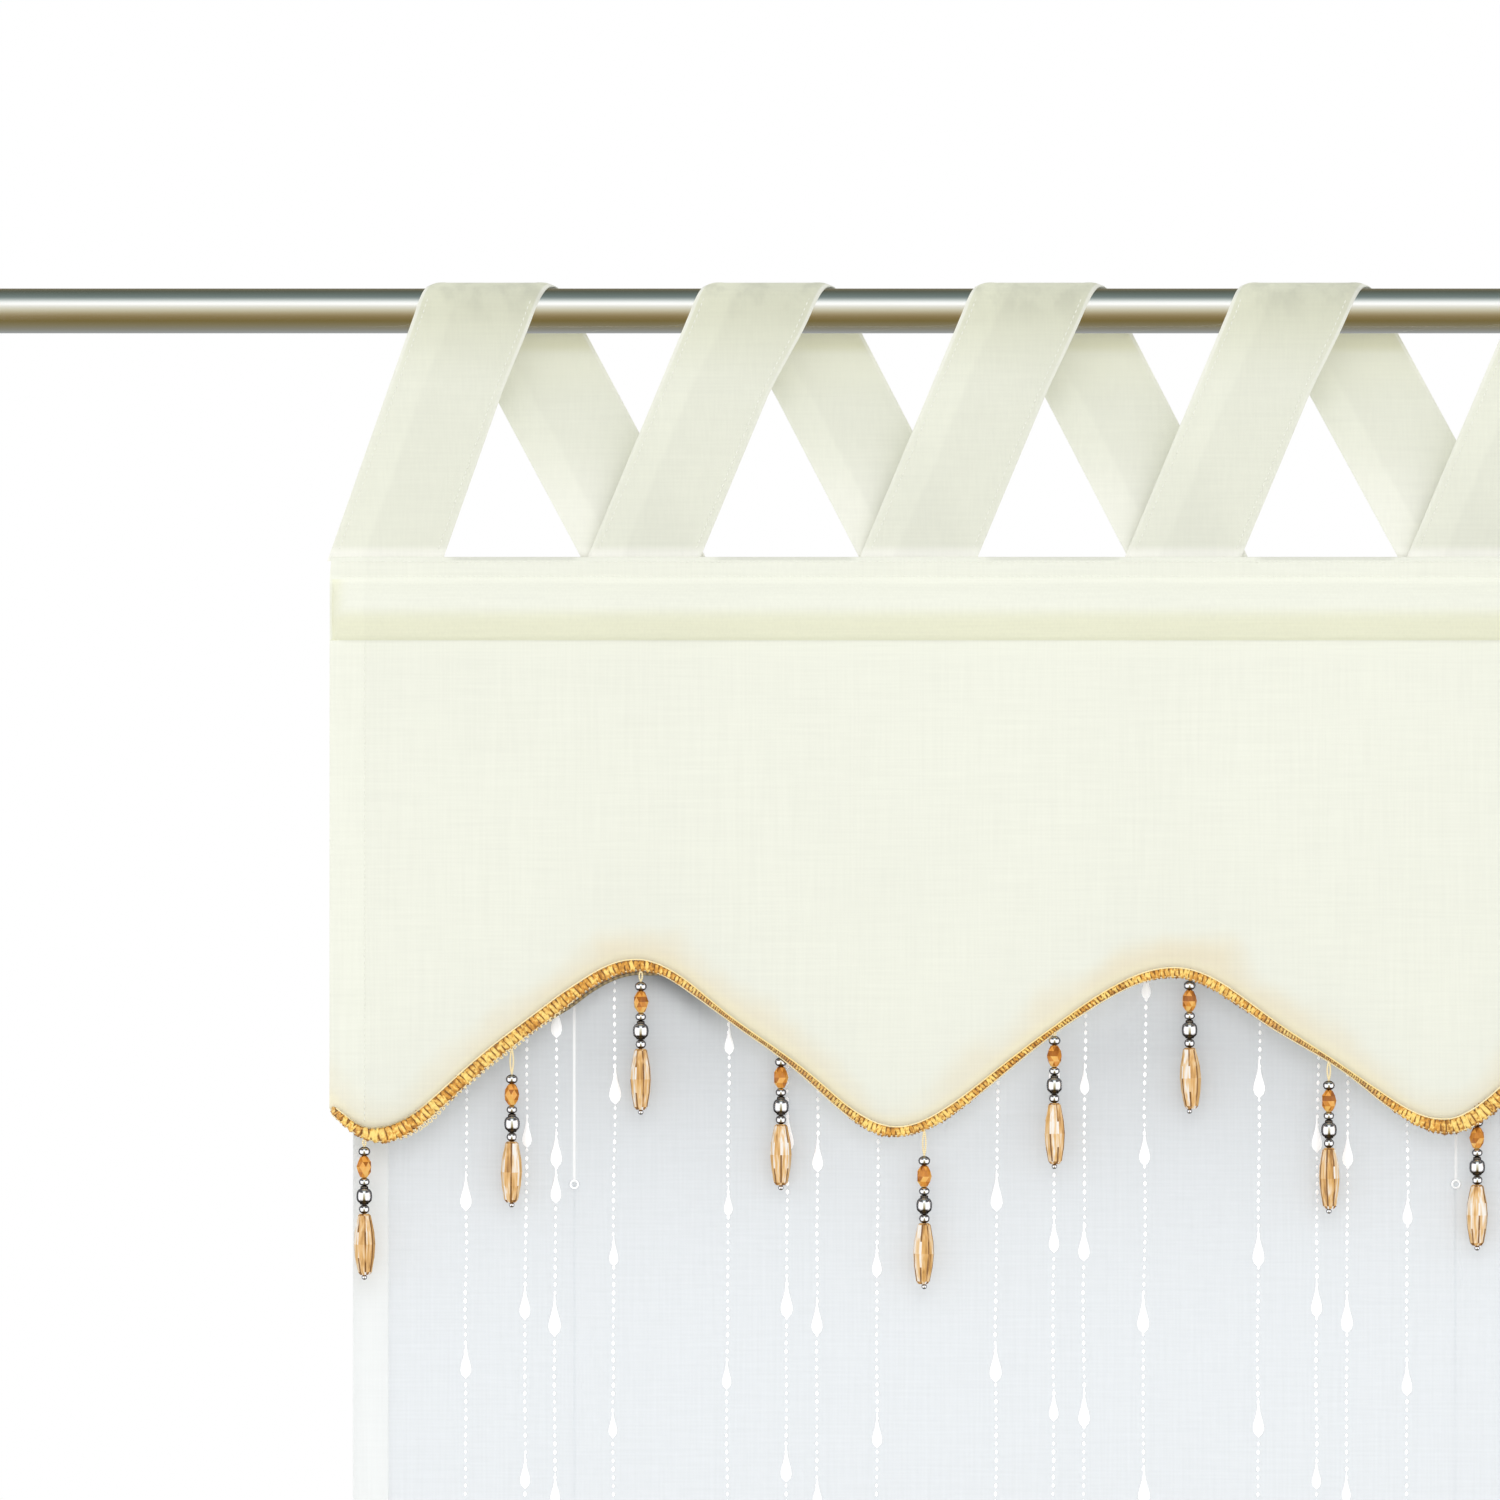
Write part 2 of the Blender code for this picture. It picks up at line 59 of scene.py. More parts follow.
# %% Camera
CAMERA_DISTANCE = 4.0
VIEW_WIDTH = 0.6696
VIEW_CENTRE = (-0.3125, -0.1960)

camera = bpy.data.objects.new("camera", bpy.data.cameras.new("camera"))
bpy.context.scene.collection.objects.link(camera)
camera.location = (VIEW_CENTRE[0], -CAMERA_DISTANCE, VIEW_CENTRE[1])
camera.rotation_euler = (math.radians(90), 0, 0)
camera.data.lens = camera.data.sensor_width * CAMERA_DISTANCE / VIEW_WIDTH
bpy.context.scene.camera = camera
bpy.context.scene.view_settings.view_transform = "Standard"
print("focal length, mm:", round(camera.data.lens))

# %% [markdown]
# Materials and Geometry Nodes are both trees of nodes, and long sums are hard to read as nodes. So two small
# classes do the wiring. The first is a Wire, an output socket that Python's own operators work on, so that
# 1 - mask adds the Math node by itself.


# %% Wires
class Wire:
    """An output socket in a tree. Sums of wires add Math nodes."""

    def __init__(self, tree, socket):
        self.tree = tree
        self.socket = socket

    def out(self, name):
        """Another output of the same node."""
        return Wire(self.tree, self.socket.node.outputs[name])

    def math(self, operation, *others):
        return self.tree.sum(operation, self, *others)

    def __add__(self, other):
        return self.math("ADD", other)

    def __sub__(self, other):
        return self.math("SUBTRACT", other)

    def __rsub__(self, other):
        return self.tree.sum("SUBTRACT", other, self)

    def __mul__(self, other):
        return self.math("MULTIPLY", other)

    def __truediv__(self, other):
        return self.math("DIVIDE", other)

    def __pow__(self, other):
        return self.math("POWER", other)

    def __lt__(self, other):
        return self.math("LESS_THAN", other)

    def __gt__(self, other):
        return self.math("GREATER_THAN", other)

    __radd__ = __add__
    __rmul__ = __mul__


# %% [markdown]
# A Tree has one method that adds any node: its settings first, then its sockets, each with a value or a wire.
# The few nodes that nearly every finish needs get short names of their own.


# %% Trees
class Tree:
    """A node tree, filled by one method."""

    def __init__(self, tree):
        self.tree = tree

    def node(self, kind, settings=None, sockets=None, output=0):
        made = self.tree.nodes.new(kind)
        for name, value in (settings or {}).items():
            if name == "stops":
                self.set_stops(made.color_ramp, value)
            else:
                setattr(made, name, value)
        for name, value in (sockets or {}).items():
            self.feed(made.inputs[name], value)
        return Wire(self, made.outputs[output]) if made.outputs else made

    def feed(self, socket, value):
        if isinstance(value, Wire):
            self.tree.links.new(value.socket, socket)
        elif socket.type == "RGBA":
            socket.default_value = (*value, 1.0)
        else:
            socket.default_value = value

    def set_stops(self, ramp, stops):
        while len(ramp.elements) < len(stops):
            ramp.elements.new(1.0)
        for element, (position, color) in zip(ramp.elements, stops):
            element.position = position
            element.color = (*color, 1.0)

    def sum(self, operation, *values):
        return self.node("ShaderNodeMath", {"operation": operation}, dict(enumerate(values)))

    def vector(self, operation, *values, **named):
        sockets = {**dict(enumerate(values)), **named}
        return self.node("ShaderNodeVectorMath", {"operation": operation}, sockets)

    def scaled(self, vector, share):
        """A vector or a colour, times a number."""
        return self.vector("SCALE", vector, Scale=share)

    def axes(self, vector):
        """The X of a vector. Its Y and Z are the node's other outputs."""
        return self.node("ShaderNodeSeparateXYZ", {}, {0: vector})

    def smooth(self, value, low, high):
        """0 up to low and 1 from high on, with a soft step between them."""
        sockets = {"Value": value, "From Min": low, "From Max": high}
        return self.node("ShaderNodeMapRange", {"interpolation_type": "SMOOTHSTEP"}, sockets)

    def mix(self, mask, first, second):
        """One colour where the mask is 0 and the other where it is 1."""
        return self.node("ShaderNodeMix", {"data_type": "RGBA"}, {0: mask, 6: first, 7: second}, output=2)

    def ramp(self, value, stops):
        """A colour for each value, read between stops."""
        return self.node("ShaderNodeValToRGB", {"stops": stops}, {0: value})


# %% [markdown]
# The photograph is lit softly from the front, against pure white. Cloth takes an even light that only fades
# towards the floor and the ceiling, which is what gives the roll its darker underside. Metal shows the studio
# itself: a bright softbox above the camera, dark above and behind it, and a warm floor. Blender's Light Path
# node tells the rays apart, so one world gives white to the camera, even light to cloth and the studio to
# metal. The bands of the studio are set from the tones across the rod, from its lower edge to its upper one.

# %% Studio light
WHITE = (1.0, 1.0, 1.0)
ROD_TINT = (0.78, 0.77, 0.74)
# how many degrees up from the camera, and the tone that the rod shows there
STUDIO_BANDS = (
    (-180, (0.62, 0.62, 0.60)), (-166, (0.30, 0.31, 0.30)), (-145, (0.30, 0.31, 0.30)),
    (-110, (0.24, 0.23, 0.18)), (-86, (0.22, 0.195, 0.117)), (-54, (0.175, 0.130, 0.040)),
    (-30, (0.25, 0.185, 0.080)), (-16, (0.36, 0.295, 0.160)), (5, (0.60, 0.565, 0.420)),
    (22, (0.77, 0.765, 0.690)), (34, (1.08, 1.080, 1.050)), (46, (0.84, 0.870, 0.845)),
    (58, (0.42, 0.470, 0.450)), (72, (0.17, 0.215, 0.205)), (95, (0.115, 0.145, 0.125)),
    (119, (0.090, 0.098, 0.070)), (150, (0.17, 0.150, 0.095)), (168, (0.17, 0.150, 0.100)),
    (180, (0.62, 0.62, 0.60)),
)
# from straight down at 0 to straight up at 1, the light that cloth gets
CLOTH_LIGHT = (
    (0.00, (0.70, 0.66, 0.58)), (0.25, (0.83, 0.80, 0.73)), (0.42, (1.07, 1.06, 1.04)),
    (0.52, (1.13, 1.13, 1.13)), (0.85, (1.13, 1.13, 1.13)), (1.00, (0.84, 0.86, 0.88)),
)
SIDE_WALL = (0.10, 0.10, 0.105)
SIDE_CARD = (1.25, 1.25, 1.27)
SEEN_THROUGH = (1.15, 1.15, 1.15)
SEEN_ASIDE = (0.30, 0.27, 0.25)

world = bpy.data.worlds.new("studio")
world.use_nodes = True
world.node_tree.nodes.clear()
bpy.context.scene.world = world
sky = Tree(world.node_tree)
direction = sky.axes(sky.node("ShaderNodeTexCoord", output="Generated"))
height = direction.out("Z")
forward = direction.out("Y") * -1
aside = direction.math("ABSOLUTE")
bands = []
for angle, tone in STUDIO_BANDS:
    bands.append((angle / 360 + 0.5, [value / tint for value, tint in zip(tone, ROD_TINT)]))
studio = sky.ramp(sky.sum("ARCTAN2", height, forward) / math.tau + 0.5, bands)
card = sky.smooth(forward, -0.25, 0.05) * sky.smooth(height, 0.55, 0.38) * sky.smooth(height, -0.85, -0.70)
studio = sky.mix(sky.smooth(aside, 0.24, 0.36), studio, sky.mix(card, SIDE_WALL, SIDE_CARD))
even = sky.ramp(height * 0.5 + 0.5, CLOTH_LIGHT)
behind = sky.mix(sky.smooth(aside, 0.30, 0.62), SEEN_THROUGH, SEEN_ASIDE)
camera_ray = sky.node("ShaderNodeLightPath", output="Is Camera Ray")
glossy = camera_ray.out("Is Glossy Ray")
through = camera_ray.out("Is Transmission Ray")
light = sky.mix(glossy * (1 - through), even, studio)
light = sky.mix(glossy * through, light, behind)
light = sky.mix(camera_ray, light, WHITE)
background = sky.node("ShaderNodeBackground", {}, {"Color": light, "Strength": 1.0})
sky.node("ShaderNodeOutputWorld", {}, {"Surface": background})
print("studio light:", len(world.node_tree.nodes), "nodes")

# %% [markdown]
# One wide softbox above the camera gives the cloth some direction, so that straps, roll and beads cast faint
# soft shadows. It is kept out of mirror reflections, where the world's own softbox already stands.

# %% Softbox
KEY_PLACE = Vector((-0.2, -2.4, 1.7))
KEY_TARGET = Vector((-0.1, 0, -0.3))
KEY_SIZE = (2.2, 1.2)
KEY_POWER = 10.0

key = bpy.data.objects.new("key", bpy.data.lights.new("key", "AREA"))
bpy.context.scene.collection.objects.link(key)
key.data.shape = "RECTANGLE"
key.data.size, key.data.size_y = KEY_SIZE
key.data.energy = KEY_POWER
key.location = KEY_PLACE
key.rotation_mode = "QUATERNION"
key.rotation_quaternion = (KEY_TARGET - KEY_PLACE).to_track_quat("-Z", "Y")
key.visible_glossy = False
print("softbox:", KEY_POWER, "W")

# %% [markdown]
# These sizes are the CAD model's own, written out again because each script stands alone. They place
# everything that follows: the rod's radius, how the tabs lean, where the header, the roll and the hem lie,
# and how the two cloths hang behind each other.

# %% Sizes of the shade
SHADE_WIDTH = 1.000
HALF_WIDTH = SHADE_WIDTH / 2
SHADE_DROP = 1.388
ROD_RADIUS = 0.010
ROD_LENGTH = 1.400
SEAT_GAP = 0.0003
HEADER_TOP = -0.1098
HEADER_THICKNESS = 0.0054
ROLL_TOP = -0.1201
ROLL_BOTTOM = -0.1469
ROLL_BULGE = 0.0085
ROLL_END_ROUND = 0.009
ROLL_END_BARE = 0.0015
DROP_PLANE = -0.0030
CAD_CLOTH = 0.0015
BRAID_DEPTH = 0.0024
SHEER_WIDTH = 0.980
SHEER_TOP = -0.1120
SHEER_SIDE_HEM = 0.0156
SHEER_BOTTOM_HEM = 0.030
HEM_THICKNESS = 0.0019
SHEER_PLANE = 0.0045
SHEER_SETTLE = 0.12

Turn = namedtuple("Turn", "x z lift skew")
HEM_TURNS = [
    Turn(*row)
    for row in (
        (-0.5720, -0.2930, -0.0007, 0.0), (-0.4788, -0.3676, 0.0033, 0.0011),
        (-0.3627, -0.2920, 0.0020, -0.0033), (-0.2481, -0.3662, 0.0033, -0.0030),
        (-0.1236, -0.2952, 0.0009, -0.0030), (-0.0021, -0.3638, 0.0050, 0.0045),
        (0.1130, -0.2935, 0.0015, -0.0030), (0.2390, -0.3660, 0.0033, -0.0010),
        (0.3610, -0.2925, 0.0015, -0.0030), (0.4800, -0.3675, -0.0007, 0.0),
        (0.5720, -0.2930, 0.0, 0.0),
    )
]
SCALLOP_STRAIGHTNESS = 0.06

Wave = namedtuple("Wave", "size length phase")
VALANCE_WAVES = (Wave(0.0009, 0.40, 0.5), Wave(0.0006, 0.21, 1.1))
SHEER_WAVES = (Wave(0.0010, 0.262, 0.7), Wave(0.0006, 0.143, 2.0))


print("shade, m:", SHADE_WIDTH, "wide and", SHADE_DROP, "long")

# %% [markdown]
# From these sizes follow the lines that several pieces share: the scalloped hem, which the braid and the
# beads follow, and how far back each of the two cloths hangs. As functions they give every piece the same
# line, so that the pieces meet.


# %% Lines of the shade
def clamp(value):
    return max(0.0, min(1.0, value))


def ease(value):
    """0 to 1 with a soft start and end."""
    share = clamp(value)
    return share * share * (3 - 2 * share)


def waves(shapes, x):
    return sum(wave.size * math.sin(math.tau * x / wave.length + wave.phase) for wave in shapes)


def interpolated(rows, x):
    """Linear reading of a table of rows whose first column is x."""
    for low, high in zip(rows, rows[1:]):
        if x <= high[0]:
            share = (x - low[0]) / (high[0] - low[0])
            return low[1] + share * (high[1] - low[1])
    return rows[-1][1]


def hem_z(x):
    """Height of the scalloped hem: cosine turns whose slopes are straightened a little."""
    third = SCALLOP_STRAIGHTNESS
    for start, end in zip(HEM_TURNS, HEM_TURNS[1:]):
        if x <= end.x:
            angle = math.pi * (x - start.x) / (end.x - start.x)
            wave = (math.cos(angle) + third * math.cos(3 * angle)) / (1 + third)
            lift = math.sin(angle) ** 2 * (start.lift + start.skew * math.cos(angle))
            return start.z + (1 - wave) / 2 * (end.z - start.z) + lift
    return HEM_TURNS[-1].z


def hem_slope(x):
    step = 0.0005
    return (hem_z(x + step) - hem_z(x - step)) / (2 * step)


def steepness(x):
    """How much longer the hem is than its own width, at x."""
    return math.hypot(1, hem_slope(x))


def drop_y(x, z):
    """Middle of the valance's drop."""
    return DROP_PLANE + clamp((ROLL_BOTTOM - z) / 0.15) * waves(VALANCE_WAVES, x)


def sheer_y(x, z):
    """Middle of the sheer panel: sewn against the header, then settling to its own plane."""
    sewn = HEADER_THICKNESS / 2 + SEAT_GAP + HEM_THICKNESS / 2
    settled = ease((SHEER_TOP - 0.012 - z) / SHEER_SETTLE)
    return sewn + settled * (SHEER_PLANE - sewn + waves(SHEER_WAVES, x))


print("hem, mm below the rod:", [round(-turn.z * 1000) for turn in HEM_TURNS])

# %% [markdown]
# Cloth pieces are closed sheets: a front and a back grid of points, joined round the rim. Keeping the two
# grids in our own hands lets hems be thicker and edges be soft. Each point can also carry values, such as
# how far it lies across and along the piece, for the pattern of its material.


# %% Closed sheets
def add_object(name, mesh):
    piece = bpy.data.objects.new(name, mesh)
    bpy.context.scene.collection.objects.link(piece)
    return piece


def store(mesh, name, values):
    attribute = mesh.attributes.new(name, "FLOAT", "POINT")
    attribute.data.foreach_set("value", values)


def mesh_from(bm, name):
    mesh = bpy.data.meshes.new(name)
    bm.to_mesh(mesh)
    bm.free()
    return mesh


def smooth_mesh(name, points, faces, crease=50):
    """A smooth mesh, sharp where it turns by more degrees than the crease."""
    mesh = bpy.data.meshes.new(name)
    mesh.from_pydata(points, [], faces)
    mesh.update()
    mesh.shade_smooth()
    mesh.set_sharp_from_angle(angle=math.radians(crease))
    return mesh


def closed_sheet(name, rows, labels=()):
    """A sheet whose front faces its rows' left-hand side. A row is a list of spots, and a spot has a front
    point, a back point and a value for each label."""
    high = len(rows)
    wide = len(rows[0])
    spots = [spot for row in rows for spot in row]
    behind = len(spots)
    faces = []
    for i in range(high - 1):
        for j in range(wide - 1):
            corner = i * wide + j
            quad = (corner, corner + wide, corner + wide + 1, corner + 1)
            faces += [quad, tuple(behind + index for index in reversed(quad))]
    rim = list(range(wide))
    rim += [i * wide + wide - 1 for i in range(1, high)]
    rim += [(high - 1) * wide + j for j in range(wide - 2, -1, -1)]
    rim += [i * wide for i in range(high - 2, 0, -1)]
    for start, end in zip(rim, rim[1:] + rim[:1]):
        faces.append((start, end, behind + end, behind + start))
    mesh = smooth_mesh(name, [spot[0] for spot in spots] + [spot[1] for spot in spots], faces)
    for label, values in zip(labels, zip(*[spot[2:] for spot in spots])):
        store(mesh, label, values * 2)
    return add_object(name, mesh)


# %% [markdown]
# Every finish starts from the same few moves: place a pattern by object coordinates, stretch a noise, weave
# two sets of threads, and lift the result with a bump. The weave is a plain one. Its threads are finer than
# a pixel of the picture, so what the eye reads from a step away are the slubs, which are noises stretched
# along each thread.


# %% Finishes
class Finish(Tree):
    """A material in the making, around its Principled shader."""

    def __init__(self, name, roughness, metallic=0.0, **constants):
        self.material = bpy.data.materials.new(name)
        self.material.use_nodes = True
        super().__init__(self.material.node_tree)
        self.shader = self.tree.nodes["Principled BSDF"]
        self.set("Roughness", roughness)
        self.set("Metallic", metallic)
        for socket, value in constants.items():
            self.set(socket.replace("_", " "), value)

    def set(self, socket, value):
        self.feed(self.shader.inputs[socket], value)

    def place(self, x=1.0, y=1.0, z=1.0):
        """Object coordinates, stretched."""
        return self.vector("MULTIPLY", self.node("ShaderNodeTexCoord", output="Object"), (x, y, z))

    def read(self, attribute):
        return self.node("ShaderNodeAttribute", {"attribute_name": attribute}, output="Fac")

    def noise(self, place, scale=1.0, detail=2.0):
        return self.node("ShaderNodeTexNoise", {}, {"Vector": place, "Scale": scale, "Detail": detail})

    def slubs(self, across, along):
        """Threads that run thick and thin, in both directions: a thread's pitch and a slub's length."""
        warp = self.noise(self.place(1 / across, 1 / across, 1 / along), detail=0.0)
        weft = self.noise(self.place(1 / along, 1 / across, 1 / across), detail=0.0)
        return warp + weft - 1

    def weave(self, pitch):
        """Height of a plain weave: each thread goes over one and under the next."""
        spot = self.axes(self.place(*[math.pi / pitch] * 3))
        return (spot.math("SINE") * spot.out("Z").math("SINE")).math("ABSOLUTE")

    def twist(self, pitch):
        """0 to 1 and back along a cord, for the ridges of its yarns."""
        return (self.read("along") * (math.tau / pitch)).math("SINE") * 0.5 + 0.5

    def bump(self, height, distance, strength=1.0):
        sockets = {"Height": height, "Distance": distance, "Strength": strength}
        self.set("Normal", self.node("ShaderNodeBump", {}, sockets))

    def glow(self, share, color):
        """Lets a share of the light through the cloth."""
        through = self.node("ShaderNodeBsdfTranslucent", {}, {"Color": color})
        shaders = {0: share, 1: Wire(self, self.shader.outputs[0]), 2: through}
        both = self.node("ShaderNodeMixShader", {}, shaders)
        self.feed(self.tree.nodes["Material Output"].inputs["Surface"], both)


# %% [markdown]
# Geometry Nodes make what repeats: stitches, braid, beads, embroidery. Each tree is built once, with named
# inputs, and run on a small mesh that says where things go. The result is copied to a plain mesh and the
# modifier goes, because only plain meshes leave this file.


# %% Growing pieces with Geometry Nodes
class Grower(Tree):
    """A Geometry Nodes tree with named inputs."""

    KINDS = {float: "Float", str: "Material", object: "Object"}

    def __init__(self, name, **inputs):
        super().__init__(bpy.data.node_groups.new(name, "GeometryNodeTree"))
        face = self.tree.interface
        face.new_socket("Geometry", in_out="INPUT", socket_type="NodeSocketGeometry")
        for name, kind in {**inputs, "Material": str}.items():
            label = name.replace("_", " ")
            face.new_socket(label, in_out="INPUT", socket_type="NodeSocket" + self.KINDS[kind])
        face.new_socket("Geometry", in_out="OUTPUT", socket_type="NodeSocketGeometry")
        self.start = self.node("NodeGroupInput")
        self.end = self.tree.nodes.new("NodeGroupOutput")

    def input(self, label):
        return self.start.out(label)

    def geometry(self, kind, *first, settings=None, output=0, **named):
        """A geometry node. Its sockets are the first ones in order, and then others by name."""
        sockets = dict(enumerate(first))
        sockets.update((name.replace("_", " "), value) for name, value in named.items())
        return self.node("GeometryNode" + kind, settings, sockets, output)

    def named(self, attribute):
        return self.geometry("InputNamedAttribute", attribute, settings={"data_type": "FLOAT"})

    def mark(self, geometry, label, value):
        """Stores a value on every point, under a name that a finish can read."""
        kind = {"data_type": "FLOAT", "domain": "POINT"}
        return self.geometry("StoreNamedAttribute", settings=kind, Geometry=geometry, Name=label, Value=value)

    def steps(self, length):
        """The lines that the tree runs on, as curves with points at even steps."""
        curve = self.geometry("MeshToCurve", self.input("Geometry"))
        return self.geometry("ResampleCurve", settings={"mode": "LENGTH"}, Curve=curve, Length=length)

    def shape(self, source):
        """The geometry of another object, given itself or by an input."""
        return self.geometry("ObjectInfo", Object=source, output="Geometry")

    def random(self, low, high, seed):
        sockets = {2: low, 3: high, 8: seed}
        return self.node("FunctionNodeRandomValue", {"data_type": "FLOAT"}, sockets, output=1)

    def xyz(self, x, y, z):
        return self.node("ShaderNodeCombineXYZ", {}, {"X": x, "Y": y, "Z": z})

    def join(self, parts):
        joined = self.tree.nodes.new("GeometryNodeJoinGeometry")
        for part in reversed(parts):
            self.tree.links.new(part.socket, joined.inputs[0])
        return Wire(self, joined.outputs[0])

    def swept(self, curve, radius, sides):
        """A smooth tube along a curve, with closed ends."""
        ring = self.geometry("CurvePrimitiveCircle", Resolution=sides, Radius=1.0)
        tube = self.geometry("CurveToMesh", Curve=curve, Profile_Curve=ring, Scale=radius, Fill_Caps=True)
        return self.geometry("SetShadeSmooth", tube)

    def finish(self, geometry):
        """Realizes what was instanced, and gives it its material."""
        real = self.geometry("RealizeInstances", geometry)
        painted = self.geometry("SetMaterial", Geometry=real, Material=self.input("Material"))
        self.feed(self.end.inputs[0], painted)
        return self

    def run(self, name, start, **values):
        """Runs the tree on a mesh and returns the plain piece."""
        piece = add_object(name, start)
        modifier = piece.modifiers.new("grow", "NODES")
        modifier.node_group = self.tree
        for item in self.tree.interface.items_tree:
            label = item.name.lower().replace(" ", "_")
            if label in values:
                modifier[item.identifier] = values[label]
        bpy.context.view_layer.update()
        graph = bpy.context.evaluated_depsgraph_get()
        mesh = bpy.data.meshes.new_from_object(piece.evaluated_get(graph), depsgraph=graph)
        piece.modifiers.remove(modifier)
        piece.data = mesh
        print(name, "has", sum(len(face.vertices) - 2 for face in mesh.polygons), "triangles")
        return piece


# %% [markdown]
# A tree starts from points or from lines. Both are meshes without faces, and what differs from point to
# point, such as a width, is stored on them under a name that the tree reads.


# %% Points and lines
def points_mesh(name, points, edges=(), **attributes):
    mesh = bpy.data.meshes.new(name)
    mesh.from_pydata(points, edges, [])
    for label, values in attributes.items():
        store(mesh, label, values)
    return mesh


def line_mesh(name, lines):
    """Several lines of points as one mesh of edges."""
    points = []
    edges = []
    for line in lines:
        first = len(points)
        points += line
        edges += [(first + i, first + i + 1) for i in range(len(line) - 1)]
    return points_mesh(name, points, edges)


# %% [markdown]
# The rod is a plain steel tube, plated and polished, so its whole look is the light in it. It needs many
# sides for a clean highlight, and small round edges on its ends. A polished plate is never quite even: fine
# lines run round it from the polishing wheel, and they widen the highlight a little.

# %% Rod
ROD_SIDES = 96
ROD_END_ROUND = 0.0008
ROD_END_CAP = 0.0004


def polished_metal():
    metal = Finish("polished_metal", 0.1, 1.0, Base_Color=ROD_TINT)
    haze = metal.noise(metal.place(), 14, 3)
    metal.set("Roughness", 0.13 + haze * 0.08)
    wheel = metal.noise(metal.place(5200, 60, 60), 1, 2)
    metal.bump(wheel, 0.00002, 0.35)
    return metal.material


def rod():
    """A tube turned from its outline, with its ends rounded off and closed by a small flat cap."""
    half = ROD_LENGTH / 2
    outline = [(half, ROD_END_CAP), (half, ROD_RADIUS - ROD_END_ROUND)]
    for i in range(1, 5):
        angle = math.pi / 2 * i / 4
        radius = ROD_RADIUS - ROD_END_ROUND * (1 - math.sin(angle))
        outline.append((half - ROD_END_ROUND * (1 - math.cos(angle)), radius))
    outline += [(half * i / 8, ROD_RADIUS) for i in range(7, -8, -1)]
    outline += [(-x, radius) for x, radius in reversed(outline[:6])]
    bm = bmesh.new()
    rings = []
    for x, radius in outline:
        turns = [math.tau * i / ROD_SIDES for i in range(ROD_SIDES)]
        rings.append([bm.verts.new((x, radius * math.sin(a), radius * math.cos(a))) for a in turns])
    for ring, following in zip(rings, rings[1:]):
        for i in range(ROD_SIDES):
            after = (i + 1) % ROD_SIDES
            bm.faces.new((ring[i], following[i], following[after], ring[after]))
    bm.faces.new(rings[0])
    bm.faces.new(reversed(rings[-1]))
    bmesh.ops.recalc_face_normals(bm, faces=bm.faces)
    mesh = mesh_from(bm, "rod_tube")
    mesh.shade_smooth()
    mesh.set_sharp_from_angle(angle=math.radians(35))
    return add_object("rod_tube", mesh)


rod_tube = rod()
rod_tube.data.materials.append(polished_metal())
print("rod:", len(rod_tube.data.polygons), "faces")

# %% [markdown]
# The valance and the tabs are one ivory cloth, closely woven and pressed flat. It lets some light through,
# which is part of why a tab looks darker over the rod than below it; the rest is painted shade. The
# valance's back has a painted glow, which shows faintly through the voile. Near the scalloped hem the cloth
# has a warm cream cast, deepest over the arches, and the tabs have a paler band along their left side.

# %% Ivory cloth
IVORY = (0.858, 0.871, 0.778)
# painted shade for the tabs where they go over the rod
IVORY_CREST_SHADE = (0.768, 0.780, 0.625)
IVORY_PALE = (0.850, 0.864, 0.755)
# painted light for the tabs' feet and the back leg above them
IVORY_PAINTED_FOOT_LIGHT = (0.980, 0.980, 0.910)
# painted highlight along the tabs' edges
IVORY_EDGE_HIGHLIGHT = (0.935, 0.940, 0.865)
IVORY_LIT = (1.0, 1.0, 0.93)
# painted shadow under the rod, on the back leg
PAINTED_ROD_SHADOW = (0.740, 0.740, 0.500)
HEM_CREAM = (0.850, 0.785, 0.605)
# painted light along the braid, where the braid shades the cloth
HEM_PAINTED_LIGHT = (0.940, 0.885, 0.660)
# painted shade on the roll's underside and at its ends
ROLL_PAINTED_SHADE = (0.842, 0.846, 0.660)
IVORY_THREAD = (0.90, 0.905, 0.825)
# painted glow for the valance's back
IVORY_PAINTED_GLOW = (1.00, 0.985, 0.87)
BLACK = (0.0, 0.0, 0.0)
THREAD_PITCH = 0.00042


def ivory_cloth(name, **constants):
    """The cloth and its uneven tone. Constants are the shader's own."""
    cloth = Finish(name, 0.86, Sheen_Weight=0.15, Sheen_Roughness=0.5, Specular_IOR_Level=0.25, **constants)
    slubs = cloth.slubs(0.0009, 0.030)
    cloud = cloth.noise(cloth.place(), 9, 3)
    cloth.set("Roughness", 0.84 + slubs * 0.06)
    cloth.bump(cloth.weave(THREAD_PITCH) + slubs * 0.8, 0.00008, 0.6)
    return cloth, 1 + slubs * 0.05 + (cloud - 0.5) * 0.05


print("ivory cloth:", round(THREAD_PITCH * 1000, 2), "mm from thread to thread")
